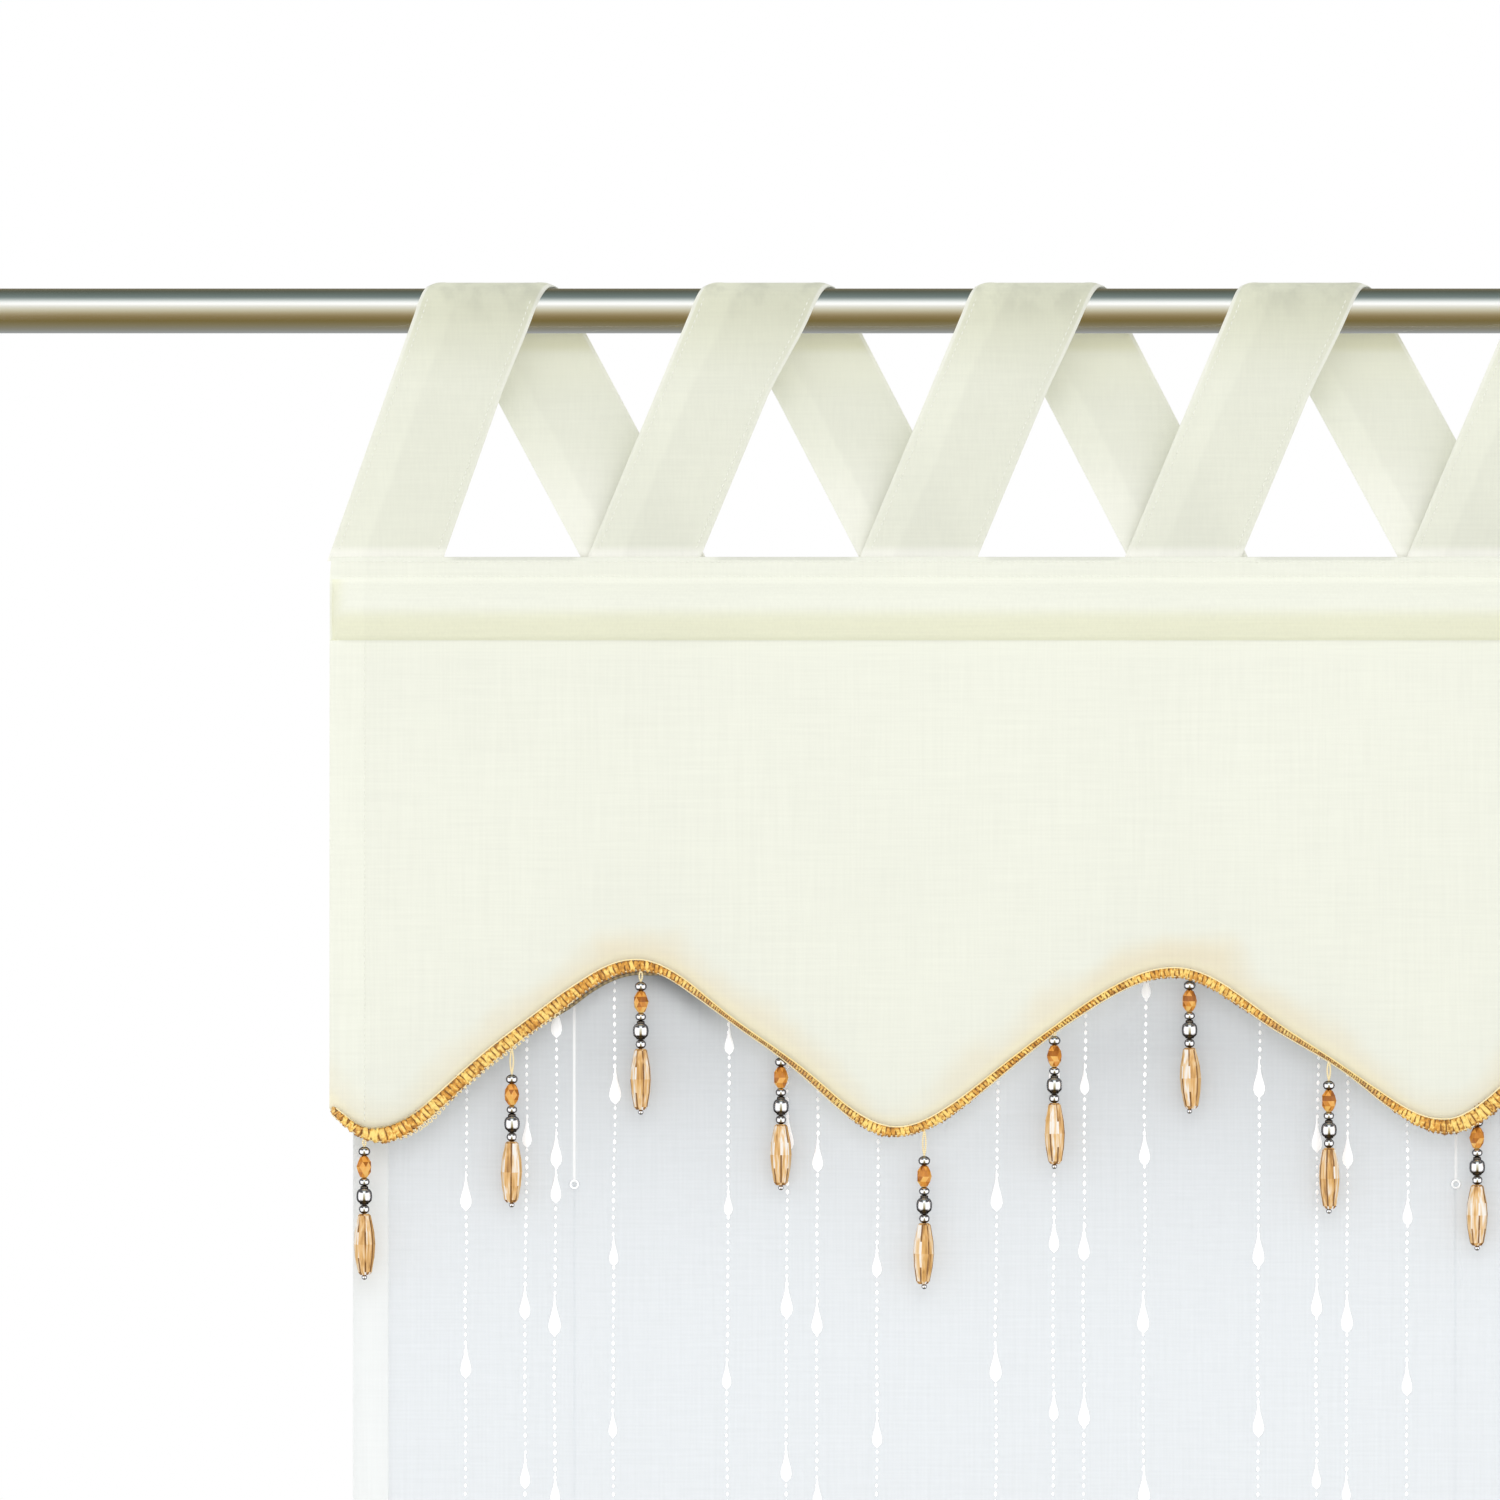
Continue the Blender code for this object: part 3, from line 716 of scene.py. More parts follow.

# %% [markdown]
# The valance's mesh will carry marks: how high a point lies above the hem, how much painted shade a point
# of the roll gets, how near to the top of an arch, whether a tab's foot stands above it and how much painted
# glow the back gets. The finish reads them as attributes and mixes its creams by them. Apart from the
# cream near the hem, these tones are painted light and shade: the roll's darker underside and ends, the
# lighter band along the braid, the lighter groove and strip above and below the roll, the dark line along
# the header's top and the glow on the back.


# %% Finish of the valance
def valance_finish():
    # the emission is a painted glow on the valance's back
    cloth, tone = ivory_cloth("valance_ivory", Emission_Strength=0.20)
    spot = cloth.axes(cloth.place())
    z = spot.out("Z")
    above_hem = cloth.read("above_hem")
    patchy = (cloth.noise(cloth.place(), 26, 3) - 0.5) * 0.026
    cream = cloth.smooth(above_hem + patchy, 0.021, 0.004) * (0.5 + cloth.read("arch") * 0.5)
    base = cloth.mix(cream, IVORY, HEM_CREAM)
    # painted light just above the braid
    base = cloth.mix(cloth.smooth(above_hem, 0.0085, 0.0030) * 0.7, base, HEM_PAINTED_LIGHT)
    # painted shade on the roll's underside and at its ends
    base = cloth.mix(cloth.read("under_roll"), base, ROLL_PAINTED_SHADE)
    side_hem = HALF_WIDTH - SHEER_SIDE_HEM
    hemmed = cloth.smooth(spot.math("ABSOLUTE"), side_hem - 0.0006, side_hem + 0.0004)
    # painted shade: a dark line along the header's top edge between the tabs
    rim = cloth.smooth(z, HEADER_TOP - 0.0019, HEADER_TOP - 0.0013) * (1 - cloth.read("held"))
    # painted light in the groove above the roll and on the strip just below it
    painted_groove_light = cloth.smooth((z - ROLL_TOP).math("ABSOLUTE"), 0.0024, 0.0006)
    painted_light_below_roll = cloth.smooth(z, ROLL_BOTTOM - 0.0111, ROLL_BOTTOM - 0.0021) * (z < ROLL_BOTTOM - 0.0002)
    side_hem_and_painted_light = hemmed * 0.025 + painted_groove_light * 0.05 + painted_light_below_roll * 0.025
    cloth.set("Base Color", cloth.scaled(base, tone + side_hem_and_painted_light - rim * 0.15))
    # painted glow on the back, fading out towards the hem
    cloth.set("Emission Color", cloth.mix(cloth.read("behind"), BLACK, IVORY_PAINTED_GLOW))
    cloth.glow(0.10, IVORY)
    return cloth.material


valance_material = valance_finish()
print("valance finish:", len(valance_material.node_tree.nodes), "nodes")

# %% [markdown]
# A tab is marked with how far across and along the strip a point lies. It is darkest over the rod, with
# painted shade and painted crease shade, and palest at its feet, with painted light. Its edges get a painted
# highlight, and a painted shadow lies across the back leg just under the rod. Just behind the rod the light
# comes through two layers.


# %% Finish of the tabs
def tab_finish():
    """Distances along a tab are from its crest over the rod, and those towards the back are positive."""
    cloth, tone = ivory_cloth("tab_ivory")
    across = cloth.read("across")
    along = cloth.read("along")
    from_crest = along.math("ABSOLUTE")
    wander = (cloth.noise(cloth.place(), 22, 2) - 0.5) * 0.08
    right_of_band = cloth.smooth(across + wander, 0.27, 0.33)
    # painted shade over the rod: mottled creases, and more on the side turned away
    painted_crease_shade = cloth.smooth(cloth.noise(cloth.place(1, 1, 0.6), 120, 4), 0.42, 0.68)
    crest = cloth.smooth(from_crest, 0.028, 0.006)
    painted_side_shade = cloth.smooth(across, 0.15, 0.55)
    shade = tone * (1 - right_of_band * 0.045) * (1 - crest * (0.02 + painted_side_shade * 0.05 + painted_crease_shade * 0.13))
    # painted shade over the rod, fading down the legs
    base = cloth.mix(cloth.smooth(from_crest, 0.010, 0.055), IVORY_CREST_SHADE, IVORY_PALE)
    # painted light towards the feet
    base = cloth.mix(cloth.smooth(along, 0.070, 0.110) * 0.5, base, IVORY_PAINTED_FOOT_LIGHT)
    base = cloth.mix(cloth.smooth(from_crest, 0.1215, 0.1265), base, IVORY_PAINTED_FOOT_LIGHT)
    # painted shadow across the back leg just under the rod
    base = cloth.mix(cloth.smooth(along, 0.022, 0.026) * cloth.smooth(along, 0.037, 0.032), base, PAINTED_ROD_SHADOW)
    # painted highlight along both edges, stronger near the rod
    rim = cloth.smooth((across - 0.5).math("ABSOLUTE"), 0.462, 0.480)
    base = cloth.mix(rim * (0.25 + cloth.smooth(from_crest, 0.080, 0.030) * 0.55), base, IVORY_EDGE_HIGHLIGHT)
    cloth.set("Base Color", cloth.scaled(base, shade))
    backlit = cloth.smooth(along, 0.020, 0.028) * cloth.smooth(along, 0.064, 0.034)
    cloth.glow(0.18 + backlit * 0.34, IVORY_LIT)
    return cloth.material


tab_material = tab_finish()
print("tab finish:", len(tab_material.node_tree.nodes), "nodes")

# %% [markdown]
# A tab is one strip that climbs the front of the shade, goes over the rod and comes down behind it, leaning
# all the way. Unrolled it is almost straight, so its middle line is worked out along the strip: constant
# lean on both legs and an even turn on the rod. Its cross-section follows the rod and then runs straight to
# the header.

# %% Crossed tabs
TAB_WIDTH = 0.050
TAB_CLOTH = 0.0011
TAB_HEM = 0.007
FOOT_OFFSET = 0.00105
FOOT_TUCK = 0.0022  # how far a foot goes down into the header's seam
TAB_DRAW_IN = 0.040  # below the rod the inset grows over this length
Tab = namedtuple("Tab", "crest front_lean back_lean front_inset back_inset")
TABS = (
    Tab(-0.4277, 19.6, 28.0, 0.0017, 0.0009),
    Tab(-0.3040, 22.7, 27.2, 0.0038, 0.0031),
    Tab(-0.1828, 22.6, 27.0, 0.0016, 0.0024),
    Tab(-0.0647, 22.5, 28.1, 0.0022, 0.0022),
    Tab(0.0616, 22.7, 27.0, 0.0020, 0.0022),
    Tab(0.1800, 22.5, 26.8, 0.0022, 0.0020),
    Tab(0.2980, 22.8, 27.1, 0.0020, 0.0022),
    Tab(0.4155, 22.6, 24.0, 0.0018, 0.0016),
)


def tab_path(leg_steps=26, wrap_steps=24):
    """Half of a tab's path seen from the side, from the crest to the back foot: y, z, the distance along it
    and how far its outward side has turned."""
    foot_z = HEADER_TOP + SEAT_GAP
    radius = ROD_RADIUS + SEAT_GAP + CAD_CLOTH / 2
    reach = math.hypot(FOOT_OFFSET, foot_z)
    leg = math.sqrt(reach**2 - radius**2)
    half_wrap = math.pi - math.acos(radius / reach) - math.atan2(FOOT_OFFSET, -foot_z)
    path = []
    for i in range(wrap_steps + 1):
        angle = half_wrap * i / wrap_steps
        path.append((radius * math.sin(angle), radius * math.cos(angle), radius * angle, angle))
    start_y, start_z, start_s, angle = path[-1]
    for i in range(1, leg_steps + 1):
        share = i / leg_steps
        y = start_y + share * (FOOT_OFFSET - start_y)
        path.append((y, start_z + share * (foot_z - start_z), start_s + share * leg, angle))
    path.append((FOOT_OFFSET, foot_z - FOOT_TUCK, start_s + leg + FOOT_TUCK, angle))
    return path, radius * half_wrap


def tab_line(tab):
    """Stations along a tab from front foot to back foot: middle, outward normal, half width and distance."""
    half, wrap_end = tab_path()
    front = math.tan(math.radians(tab.front_lean))
    back = math.tan(math.radians(tab.back_lean))
    path = [(-y, z, -s, -angle) for y, z, s, angle in reversed(half[1:])] + half
    stations = []
    for y, z, s, angle in path:
        turned = max(-wrap_end, min(wrap_end, s))
        on_rod = (front + back) / 2 * turned + (back - front) * turned**2 / (4 * wrap_end)
        shift = on_rod + (back if s > 0 else front) * (s - turned)
        lean = math.atan(front + clamp(0.5 + s / (2 * wrap_end)) * (back - front))
        normal = Vector((0, math.sin(angle), math.cos(angle)))
        drawn = ease((abs(s) - wrap_end) / TAB_DRAW_IN) / 2
        inset = drawn * (tab.back_inset if s > 0 else -tab.front_inset)
        half_width = TAB_WIDTH / 2 / math.cos(lean) - abs(inset)
        stations.append((Vector((tab.crest + shift + inset, y, z)), normal, half_width, s))
    return stations


print("a tab's path, seen from the side, is", round(2 * tab_path()[0][-1][2] * 1000), "mm long")

# %% [markdown]
# Round its line the strip gets a body. Points are closer together towards its edges, so that the edges can
# be round and the sewn hems a little thicker, and a noise lets the legs waver as pressed cloth does.


# %% Strips of cloth
TAB_COLUMNS = 30
TAB_RIPPLE = 0.0007
TAB_LEG_START = 0.030  # distances from the crest
TAB_LEG_END = 0.125
TAB_LEG_FADE = 0.02
TAB_EDGE_ROUND = 0.0012
TAB_LOOSE = 0.0010  # how much fuller a tab is over the rod
HEM_FULLER = 0.22


def tab_ripple(number, x, s):
    """How far a tab stands off its middle: a little on its legs, not at all on the rod and at its feet."""
    on_leg = ease((abs(s) - TAB_LEG_START) / TAB_LEG_FADE) * ease((TAB_LEG_END - abs(s)) / TAB_LEG_FADE)
    return TAB_RIPPLE * on_leg * noise.noise(Vector((x * 30, s * 14, number * 3.7)))


def stretched(shares):
    """The same spacing from 0 to 1."""
    return [(share - shares[0]) / (shares[-1] - shares[0]) for share in shares]


def tab_strip(number, tab):
    """A tab of soft cloth: round at its edges, doubled at its hems and a little fuller over the rod."""
    turns = [math.pi * (0.12 + 0.76 * j / TAB_COLUMNS) for j in range(TAB_COLUMNS + 1)]
    shares = stretched([0.5 - 0.5 * math.cos(turn) for turn in turns])
    rows = []
    for middle, normal, half_width, s in tab_line(tab):
        row = []
        for share in shares:
            from_edge = min(share, 1 - share) * TAB_WIDTH
            spot = middle + Vector(((2 * share - 1) * half_width, 0, 0))
            spot = spot + normal * tab_ripple(number, spot.x, s)
            rounded = 0.35 + 0.65 * ease(from_edge / TAB_EDGE_ROUND)
            doubled = 1.0 + HEM_FULLER * ease((TAB_HEM - from_edge) / 0.0008)
            cloth = TAB_CLOTH / 2 * rounded * doubled
            loose = TAB_LOOSE * ease((0.016 - abs(s)) / 0.010) * ease(from_edge / 0.004)
            row.append((spot + normal * (cloth + loose), spot - normal * cloth, share, s))
        rows.append(row)
    strip = closed_sheet(f"tab_strip_{number}", rows, ("across", "along"))
    strip.data.materials.append(tab_material)
    return strip


tab_strips = [tab_strip(number, tab) for number, tab in enumerate(TABS, 1)]
print("tabs:", len(tab_strips), "strips of", len(tab_strips[0].data.polygons), "faces")

# %% [markdown]
# The valance is one closed section swept from side to side: down the front of the header, over the padded
# roll and down the drop, round the hem and up the back. Where a tab's foot is sewn in, the header's two
# edges part to hold it, and between the tabs they close. The roll is soft, so its depth wanders along its
# length.

# %% Valance
DROP_CLOTH = 0.0012
HEM_TURNED = 0.009
DROP_ROWS = 45
HEADER_LIP = 0.0013
HEADER_PILLOW = 0.0003
HEADER_DRAW_IN = 0.0008
GROOVE_SHUT = 0.0002  # depth of the groove between the header's edges
GROOVE_PARTED = 0.0026  # how much deeper it is where a foot stands
FOOT_FADE = 0.006
DROP_RIPPLE = 0.0005
RIPPLE_FADE = 0.05
BACK_FADE = 0.06
HEM_LOW = -0.366
HEM_HIGH = -0.295
# how far down the roll, and how far forward there, as shares of its height and its bulge
ROLL_SECTION = (
    (0.00, 0.02), (0.05, 0.15), (0.11, 0.33), (0.18, 0.53), (0.26, 0.73), (0.35, 0.88), (0.43, 0.97),
    (0.50, 1.00), (0.57, 0.96), (0.64, 0.88), (0.72, 0.76), (0.80, 0.63), (0.88, 0.49), (0.94, 0.38),
    (0.98, 0.28), (1.00, 0.14),
)


def foot_spans():
    """Where the tabs' feet stand along the header."""
    spans = []
    for tab in TABS:
        line = tab_line(tab)
        for middle, normal, half_width, s in (line[0], line[-1]):
            spans.append((middle.x - half_width, middle.x + half_width))
    return spans


FOOT_SPANS = foot_spans()


def parted(x):
    """1 where a foot holds the header's edges apart, 0 where they are sewn shut."""
    outside = min(max(low - x, x - high) for low, high in FOOT_SPANS)
    return 1 - ease(outside / FOOT_FADE)


def header_depth(x, down):
    """How far the header's two faces stand from its middle, a share of the way down to the roll."""
    half = HEADER_THICKNESS / 2
    lip = HEADER_LIP + (half - HEADER_LIP) * parted(x)
    return lip + (half - lip) * ease(down * 1.6)


def header_front(x, down):
    return -header_depth(x, down) - HEADER_PILLOW * math.sin(math.pi * down)


def roll_swell(x):
    """The roll's depth along its length."""
    from_end = HALF_WIDTH - abs(x) - ROLL_END_BARE
    share = clamp(from_end / (ROLL_END_ROUND - ROLL_END_BARE))
    uneven = 1 + 0.05 * math.sin(math.tau * x / 0.37 + 0.9) + 0.03 * math.sin(math.tau * x / 0.13)
    return ROLL_BULGE * math.sqrt(share * (2 - share)) * uneven


def drop_ripple(x, z):
    """Soft unevenness of pressed cloth, none at the roll."""
    depth = ease((ROLL_BOTTOM - z) / RIPPLE_FADE)
    return DROP_RIPPLE * depth * noise.noise(Vector((x * 11, 2.0, z * 7)))


print("the roll stands out", round(roll_swell(0.0) * 1000, 1), "mm")

# %% [markdown]
# One function gives the whole outline of the valance at a place along it. The points go round in one order
# everywhere, so that two neighbouring sections join point by point, whatever the hem does between them.


# %% Section of the valance
def valance_section(x):
    """The closed outline at x, from the header down the front and up the back. Each point is marked with its
    height above the hem, how much painted shade it gets on the roll's underside and ends, how near the hem is
    to the top of an arch, whether a tab's foot stands above it, and how much painted glow it gets on the
    back."""
    half = HEADER_THICKNESS / 2
    lip = header_depth(x, 0.0)
    header_drop = ROLL_TOP - HEADER_TOP
    hem = hem_z(x)
    steep = steepness(x)
    outline = []
    for down, share in ((0.0, 0.55), (0.0002, 0.85), (0.0007, 1.0)):
        outline.append((-lip * share, HEADER_TOP - down))
    for share in (0.2, 0.4, 0.6, 0.8, 0.95):
        outline.append((header_front(x, share), HEADER_TOP + share * header_drop))
    for down, forward in ROLL_SECTION:
        outline.append((-half - forward * roll_swell(x), ROLL_TOP + down * (ROLL_BOTTOM - ROLL_TOP)))
    drop_top = ROLL_BOTTOM - SEAT_GAP
    bottom = hem + DROP_CLOTH * 0.4
    drop = []
    for share in stretched([ease(0.04 + 0.92 * i / DROP_ROWS) for i in range(DROP_ROWS + 1)]):
        z = drop_top + share * (bottom - drop_top)
        turned = ease((HEM_TURNED - (z - hem) / steep) / 0.0012)
        cloth = DROP_CLOTH / 2 * (1 + 0.2 * turned)
        drop.append((drop_y(x, z) + drop_ripple(x, z), cloth, z))
    outline += [(y - cloth, z) for y, cloth, z in drop]
    outline.append((drop[-1][0], hem))
    front_points = len(outline)
    outline += [(y + cloth, z) for y, cloth, z in reversed(drop)]
    back_low = drop[0][0] + DROP_CLOTH / 2
    for share in (0.1, 0.3, 0.5, 0.7, 0.9, 1.0):
        outline.append((back_low + share * (half - back_low), drop_top + share * (ROLL_TOP - drop_top)))
    for share in (0.8, 0.6, 0.4, 0.2):
        outline.append((header_depth(x, share), HEADER_TOP + share * header_drop))
    for down, share in ((0.0007, 1.0), (0.0002, 0.85), (0.0, 0.62)):
        outline.append((lip * share, HEADER_TOP - down))
    groove = GROOVE_SHUT + GROOVE_PARTED * parted(x)
    wall = max(0.0, lip - 0.0009)
    outline += [(wall, HEADER_TOP - groove * 0.3), (wall * 0.9, HEADER_TOP - groove)]
    outline += [(-wall * 0.9, HEADER_TOP - groove), (-wall, HEADER_TOP - groove * 0.3)]
    drawn = HEADER_DRAW_IN / HALF_WIDTH
    arch = clamp((hem - HEM_LOW) / (HEM_HIGH - HEM_LOW))
    points = []
    marks = []
    for i, (y, z) in enumerate(outline):
        up = clamp((z - ROLL_TOP) / (HEADER_TOP - ROLL_TOP))
        points.append((x * (1 - drawn * up), y, z))
        down = (ROLL_TOP - z) / (ROLL_TOP - ROLL_BOTTOM)
        on_roll = 1.0 if y < -half and 0 <= down <= 1 else 0.0
        # painted shade on the roll's lower part and at its ends
        under = on_roll * max(ease((down - 0.40) / 0.30), 0.8 * ease((abs(x) - 0.4915) / 0.007))
        above = (z - hem) / steep
        # how much painted glow a point on the back gets
        behind = ease(above / BACK_FADE) * (i >= front_points and z < HEADER_TOP - 0.002)
        marks.append((above, under, arch, parted(x), behind))
    return points, marks


print("points in a section:", len(valance_section(0.0)[0]))

# %% [markdown]
# Now the sections are set side by side, closer together at both ends, where the roll is round. Quads join
# them, and the first and the last section are the side edges.


# %% Sweep of the valance
VALANCE_COLUMNS = 400
END_INSETS = (0, 0.0006, ROLL_END_BARE, 0.0028, 0.0045, 0.0065)


def valance():
    ends = [HALF_WIDTH - inset for inset in END_INSETS]
    inner = HALF_WIDTH - ROLL_END_ROUND
    middle = [inner * (2 * i / VALANCE_COLUMNS - 1) for i in range(VALANCE_COLUMNS + 1)]
    columns = [-x for x in ends] + middle + ends[::-1]
    points = []
    marks = []
    for x in columns:
        section, section_marks = valance_section(x)
        points += section
        marks += section_marks
    size = len(section)
    faces = [tuple(range(size)), tuple(reversed(range(len(points) - size, len(points))))]
    for start in range(0, len(points) - size, size):
        for i in range(size):
            after = (i + 1) % size
            faces.append((start + i, start + size + i, start + size + after, start + after))
    mesh = smooth_mesh("valance_cloth", points, faces, crease=60)
    for name, values in zip(("above_hem", "under_roll", "arch", "held", "behind"), zip(*marks)):
        store(mesh, name, values)
    mesh.materials.append(valance_material)
    return add_object(mesh.name, mesh)


valance_cloth = valance()
print("valance:", len(valance_cloth.data.polygons), "faces")

# %% [markdown]
# Sewing is what tells cloth from card. A row of stitches is a line resampled at the stitch length, with a
# small rounded thread lying along each step. One tree makes every row: under the header's edge, beside the
# roll, down the side hems and along both sides of the tabs.

# %% Rows of stitches
STITCH_LENGTH = 0.0027
STITCH_THREAD = 0.00022
STITCH_PROUD = 0.00012
TAB_STITCH_PROUD = 0.00008
TAB_SEAM_INSET = 0.0035
HEADER_SEAM_DOWN = 0.0022
ROLL_SEAM_UP = 0.0016
HEM_SEAM_UP = 0.006


def stitch_tree():
    sewing = Grower("row of stitches", Stitch=float, Thread=float)
    stitch = sewing.input("Stitch")
    thread = sewing.input("Thread")
    ball = sewing.geometry("SetShadeSmooth", sewing.geometry("MeshIcoSphere", Radius=1.0, Subdivisions=1))
    tangent = sewing.geometry("InputTangent")
    way = sewing.node("FunctionNodeAlignRotationToVector", {"axis": "X"}, {"Vector": tangent})
    size = sewing.xyz(stitch * 0.40, thread, thread)
    steps = sewing.steps(stitch)
    rows = sewing.geometry("InstanceOnPoints", Points=steps, Instance=ball, Rotation=way, Scale=size)
    return sewing.finish(rows)


def thread_finish():
    thread = Finish("ivory_thread", 0.55, Sheen_Weight=0.3)
    twist = thread.noise(thread.place(900, 900, 900), 1, 1)
    thread.set("Base Color", thread.scaled(IVORY_THREAD, 0.96 + twist * 0.08))
    thread.bump(twist, 0.00004, 0.5)
    return thread.material


print("length of a stitch, mm:", round(STITCH_LENGTH * 1000, 1))

# %% [markdown]
# The lines of stitches follow the cloth's own surface, just proud of it, so that they stay on it where the
# cloth waves. One run of the tree sews them all.


# %% Seams
def valance_seams():
    """Lines of stitches on the valance: two along the header, one down each side hem."""
    span = [(-HALF_WIDTH + 0.003) + (SHADE_WIDTH - 0.006) * i / 400 for i in range(401)]
    edge = HEADER_THICKNESS / 2 + STITCH_PROUD
    down = HEADER_SEAM_DOWN / (HEADER_TOP - ROLL_TOP)
    lines = [
        [(x * 0.995, -edge, ROLL_TOP + ROLL_SEAM_UP) for x in span],
        [(x * 0.994, header_front(x, down) - STITCH_PROUD, HEADER_TOP - HEADER_SEAM_DOWN) for x in span],
    ]
    start = ROLL_BOTTOM - 0.002
    for x in (-HALF_WIDTH + SHEER_SIDE_HEM, HALF_WIDTH - SHEER_SIDE_HEM):
        levels = [start + (hem_z(x) + HEM_SEAM_UP - start) * i / 120 for i in range(121)]
        front = DROP_CLOTH / 2 + STITCH_PROUD
        lines.append([(x, drop_y(x, z) + drop_ripple(x, z) - front, z) for z in levels])
    return lines


def tab_seams():
    """Lines of stitches beside both edges of every tab."""
    lines = []
    for number, tab in enumerate(TABS, 1):
        for side in (-1, 1):
            line = []
            for middle, normal, half_width, s in tab_line(tab)[2:-2]:
                reach = half_width * (1 - 2 * TAB_SEAM_INSET / TAB_WIDTH)
                spot = middle + Vector((side * reach, 0, 0))
                proud = tab_ripple(number, spot.x, s) + TAB_CLOTH / 2 * (1 + HEM_FULLER) + TAB_STITCH_PROUD
                line.append(tuple(spot + normal * proud))
            lines.append(line)
    return lines


sewing = stitch_tree().run(
    "ivory_stitches",
    line_mesh("seams", valance_seams() + tab_seams()),
    stitch=STITCH_LENGTH,
    thread=STITCH_THREAD,
    material=thread_finish(),
)

# %% [markdown]
# Gimp braid is a flat core with a soft shiny yarn wound round it. From the front it shows a row of short
# ridges that lean a little, with dark pits between them. So one long curve is enough for a yarn: it swings
# across the core and round to its front once a turn, and a thinner one crosses it the other way. The braid
# was sewn on by hand, so it widens and turns on edge along the hem. The ridges are deep gold with a painted
# highlight on top and painted shade in the pits, and no two are alike in tone, so the finish reads how far
# the yarn has wound.

# %% Gimp braid
# places along the hem, and how wide the braid is there
BRAID_WIDTHS = (
    (-0.500, 0.0030), (-0.494, 0.0044), (-0.485, 0.0058), (-0.476, 0.0078), (-0.467, 0.0076),
    (-0.458, 0.0067), (-0.431, 0.0066), (-0.396, 0.0069), (-0.387, 0.0060), (-0.369, 0.0062),
    (-0.360, 0.0057), (-0.351, 0.0045), (-0.342, 0.0038), (-0.333, 0.0028), (-0.324, 0.0021),
    (-0.306, 0.0020), (-0.297, 0.0023), (-0.288, 0.0029), (-0.271, 0.0036), (-0.262, 0.0049),
    (-0.253, 0.0054), (-0.244, 0.0047), (-0.226, 0.0050), (-0.217, 0.0044), (-0.199, 0.0036),
    (-0.190, 0.0031), (-0.176, 0.0026), (-0.163, 0.0033), (-0.146, 0.0038), (-0.137, 0.0046),
    (-0.128, 0.0050), (-0.101, 0.0052), (-0.092, 0.0046), (-0.083, 0.0040), (-0.074, 0.0030),
    (-0.060, 0.0022), (-0.047, 0.0019), (-0.038, 0.0026), (-0.030, 0.0038), (-0.021, 0.0048),
    (-0.012, 0.0060), (-0.003, 0.0072), (0.008, 0.0078), (0.050, 0.0068), (0.085, 0.0058),
    (0.113, 0.0058), (0.130, 0.0044), (0.155, 0.0028), (0.185, 0.0022), (0.210, 0.0030),
    (0.239, 0.0050), (0.270, 0.0036), (0.300, 0.0027), (0.330, 0.0040), (0.361, 0.0052),
    (0.385, 0.0036), (0.410, 0.0022), (0.435, 0.0026), (0.460, 0.0046), (0.480, 0.0060),
    (0.500, 0.0044),
)
BRAID_SAG = 0.02  # share of its width that the braid hangs below the hem's line
BRAID_END_SAG = 0.0008  # its left end is sewn on a little higher
BRAID_END_INSET = 0.0012


def braid_width(x):
    return interpolated(BRAID_WIDTHS, x)


def braid_y(x):
    """Middle of the braid, in front of the valance's hem."""
    return drop_y(x, hem_z(x)) - CAD_CLOTH / 2 - SEAT_GAP - BRAID_DEPTH / 2


def braid_z(x):
    """Height of the braid's middle."""
    sag = BRAID_SAG * braid_width(x) - BRAID_END_SAG * ease((-0.484 - x) / 0.014)
    return hem_z(x) - sag * steepness(x)


def yarn_pitch(x):
    """Length of one turn of the yarn: shorter where the braid is narrow, and longest at its left end."""
    wider = braid_width(x) - 0.0025
    return min(0.0013 + 0.62 * wider, 0.0017 + 0.18 * wider) + 0.0013 * ease((-0.466 - x) / 0.012)


def yarn_fade(x):
    """How pale the yarn is: a little, where a narrow braid comes down from an arch."""
    return 0.22 * ease((0.0046 - braid_width(x)) / 0.0016) * ease(-hem_slope(x) / 0.4)


def hem_line(step=0.001):
    """Points of the braid's middle with its width and the yarn's turns, evenly spaced along X."""
    count = round(SHADE_WIDTH / step)
    xs = [-HALF_WIDTH + SHADE_WIDTH * i / count for i in range(count + 1)]
    xs = [x * (1 - BRAID_END_INSET / HALF_WIDTH) for x in xs]
    turns = [0.0]
    for x in xs[1:]:
        turns.append(turns[-1] + step * steepness(x) / yarn_pitch(x))
    print("the braid's yarn goes round", round(turns[-1]), "times")
    return points_mesh(
        "hem line",
        [(x, braid_y(x), braid_z(x)) for x in xs],
        [(i, i + 1) for i in range(count)],
        width=[braid_width(x) for x in xs],
        faded=[yarn_fade(x) for x in xs],
        pitch=[yarn_pitch(x) for x in xs],
        middle=[braid_y(x) for x in xs],
        turns=turns,
    )


# %% [markdown]
# The tree turns that line into the braid. It moves each point sideways and forwards by the cosine and sine of
# the yarn's turns, sweeps a small circle along the result, and flattens the whole from front to back.


# %% Winding the yarn
YARN_STEP = 0.00024
YARN_SWING = 0.0013  # how far the thick yarn stands off the core, before the braid is flattened
THIN_YARN_SWING = 0.0017
THIN_YARN_TURNS = -1.37  # turns to one of the thick yarn, the other way round
CORE_STEP = 0.0008


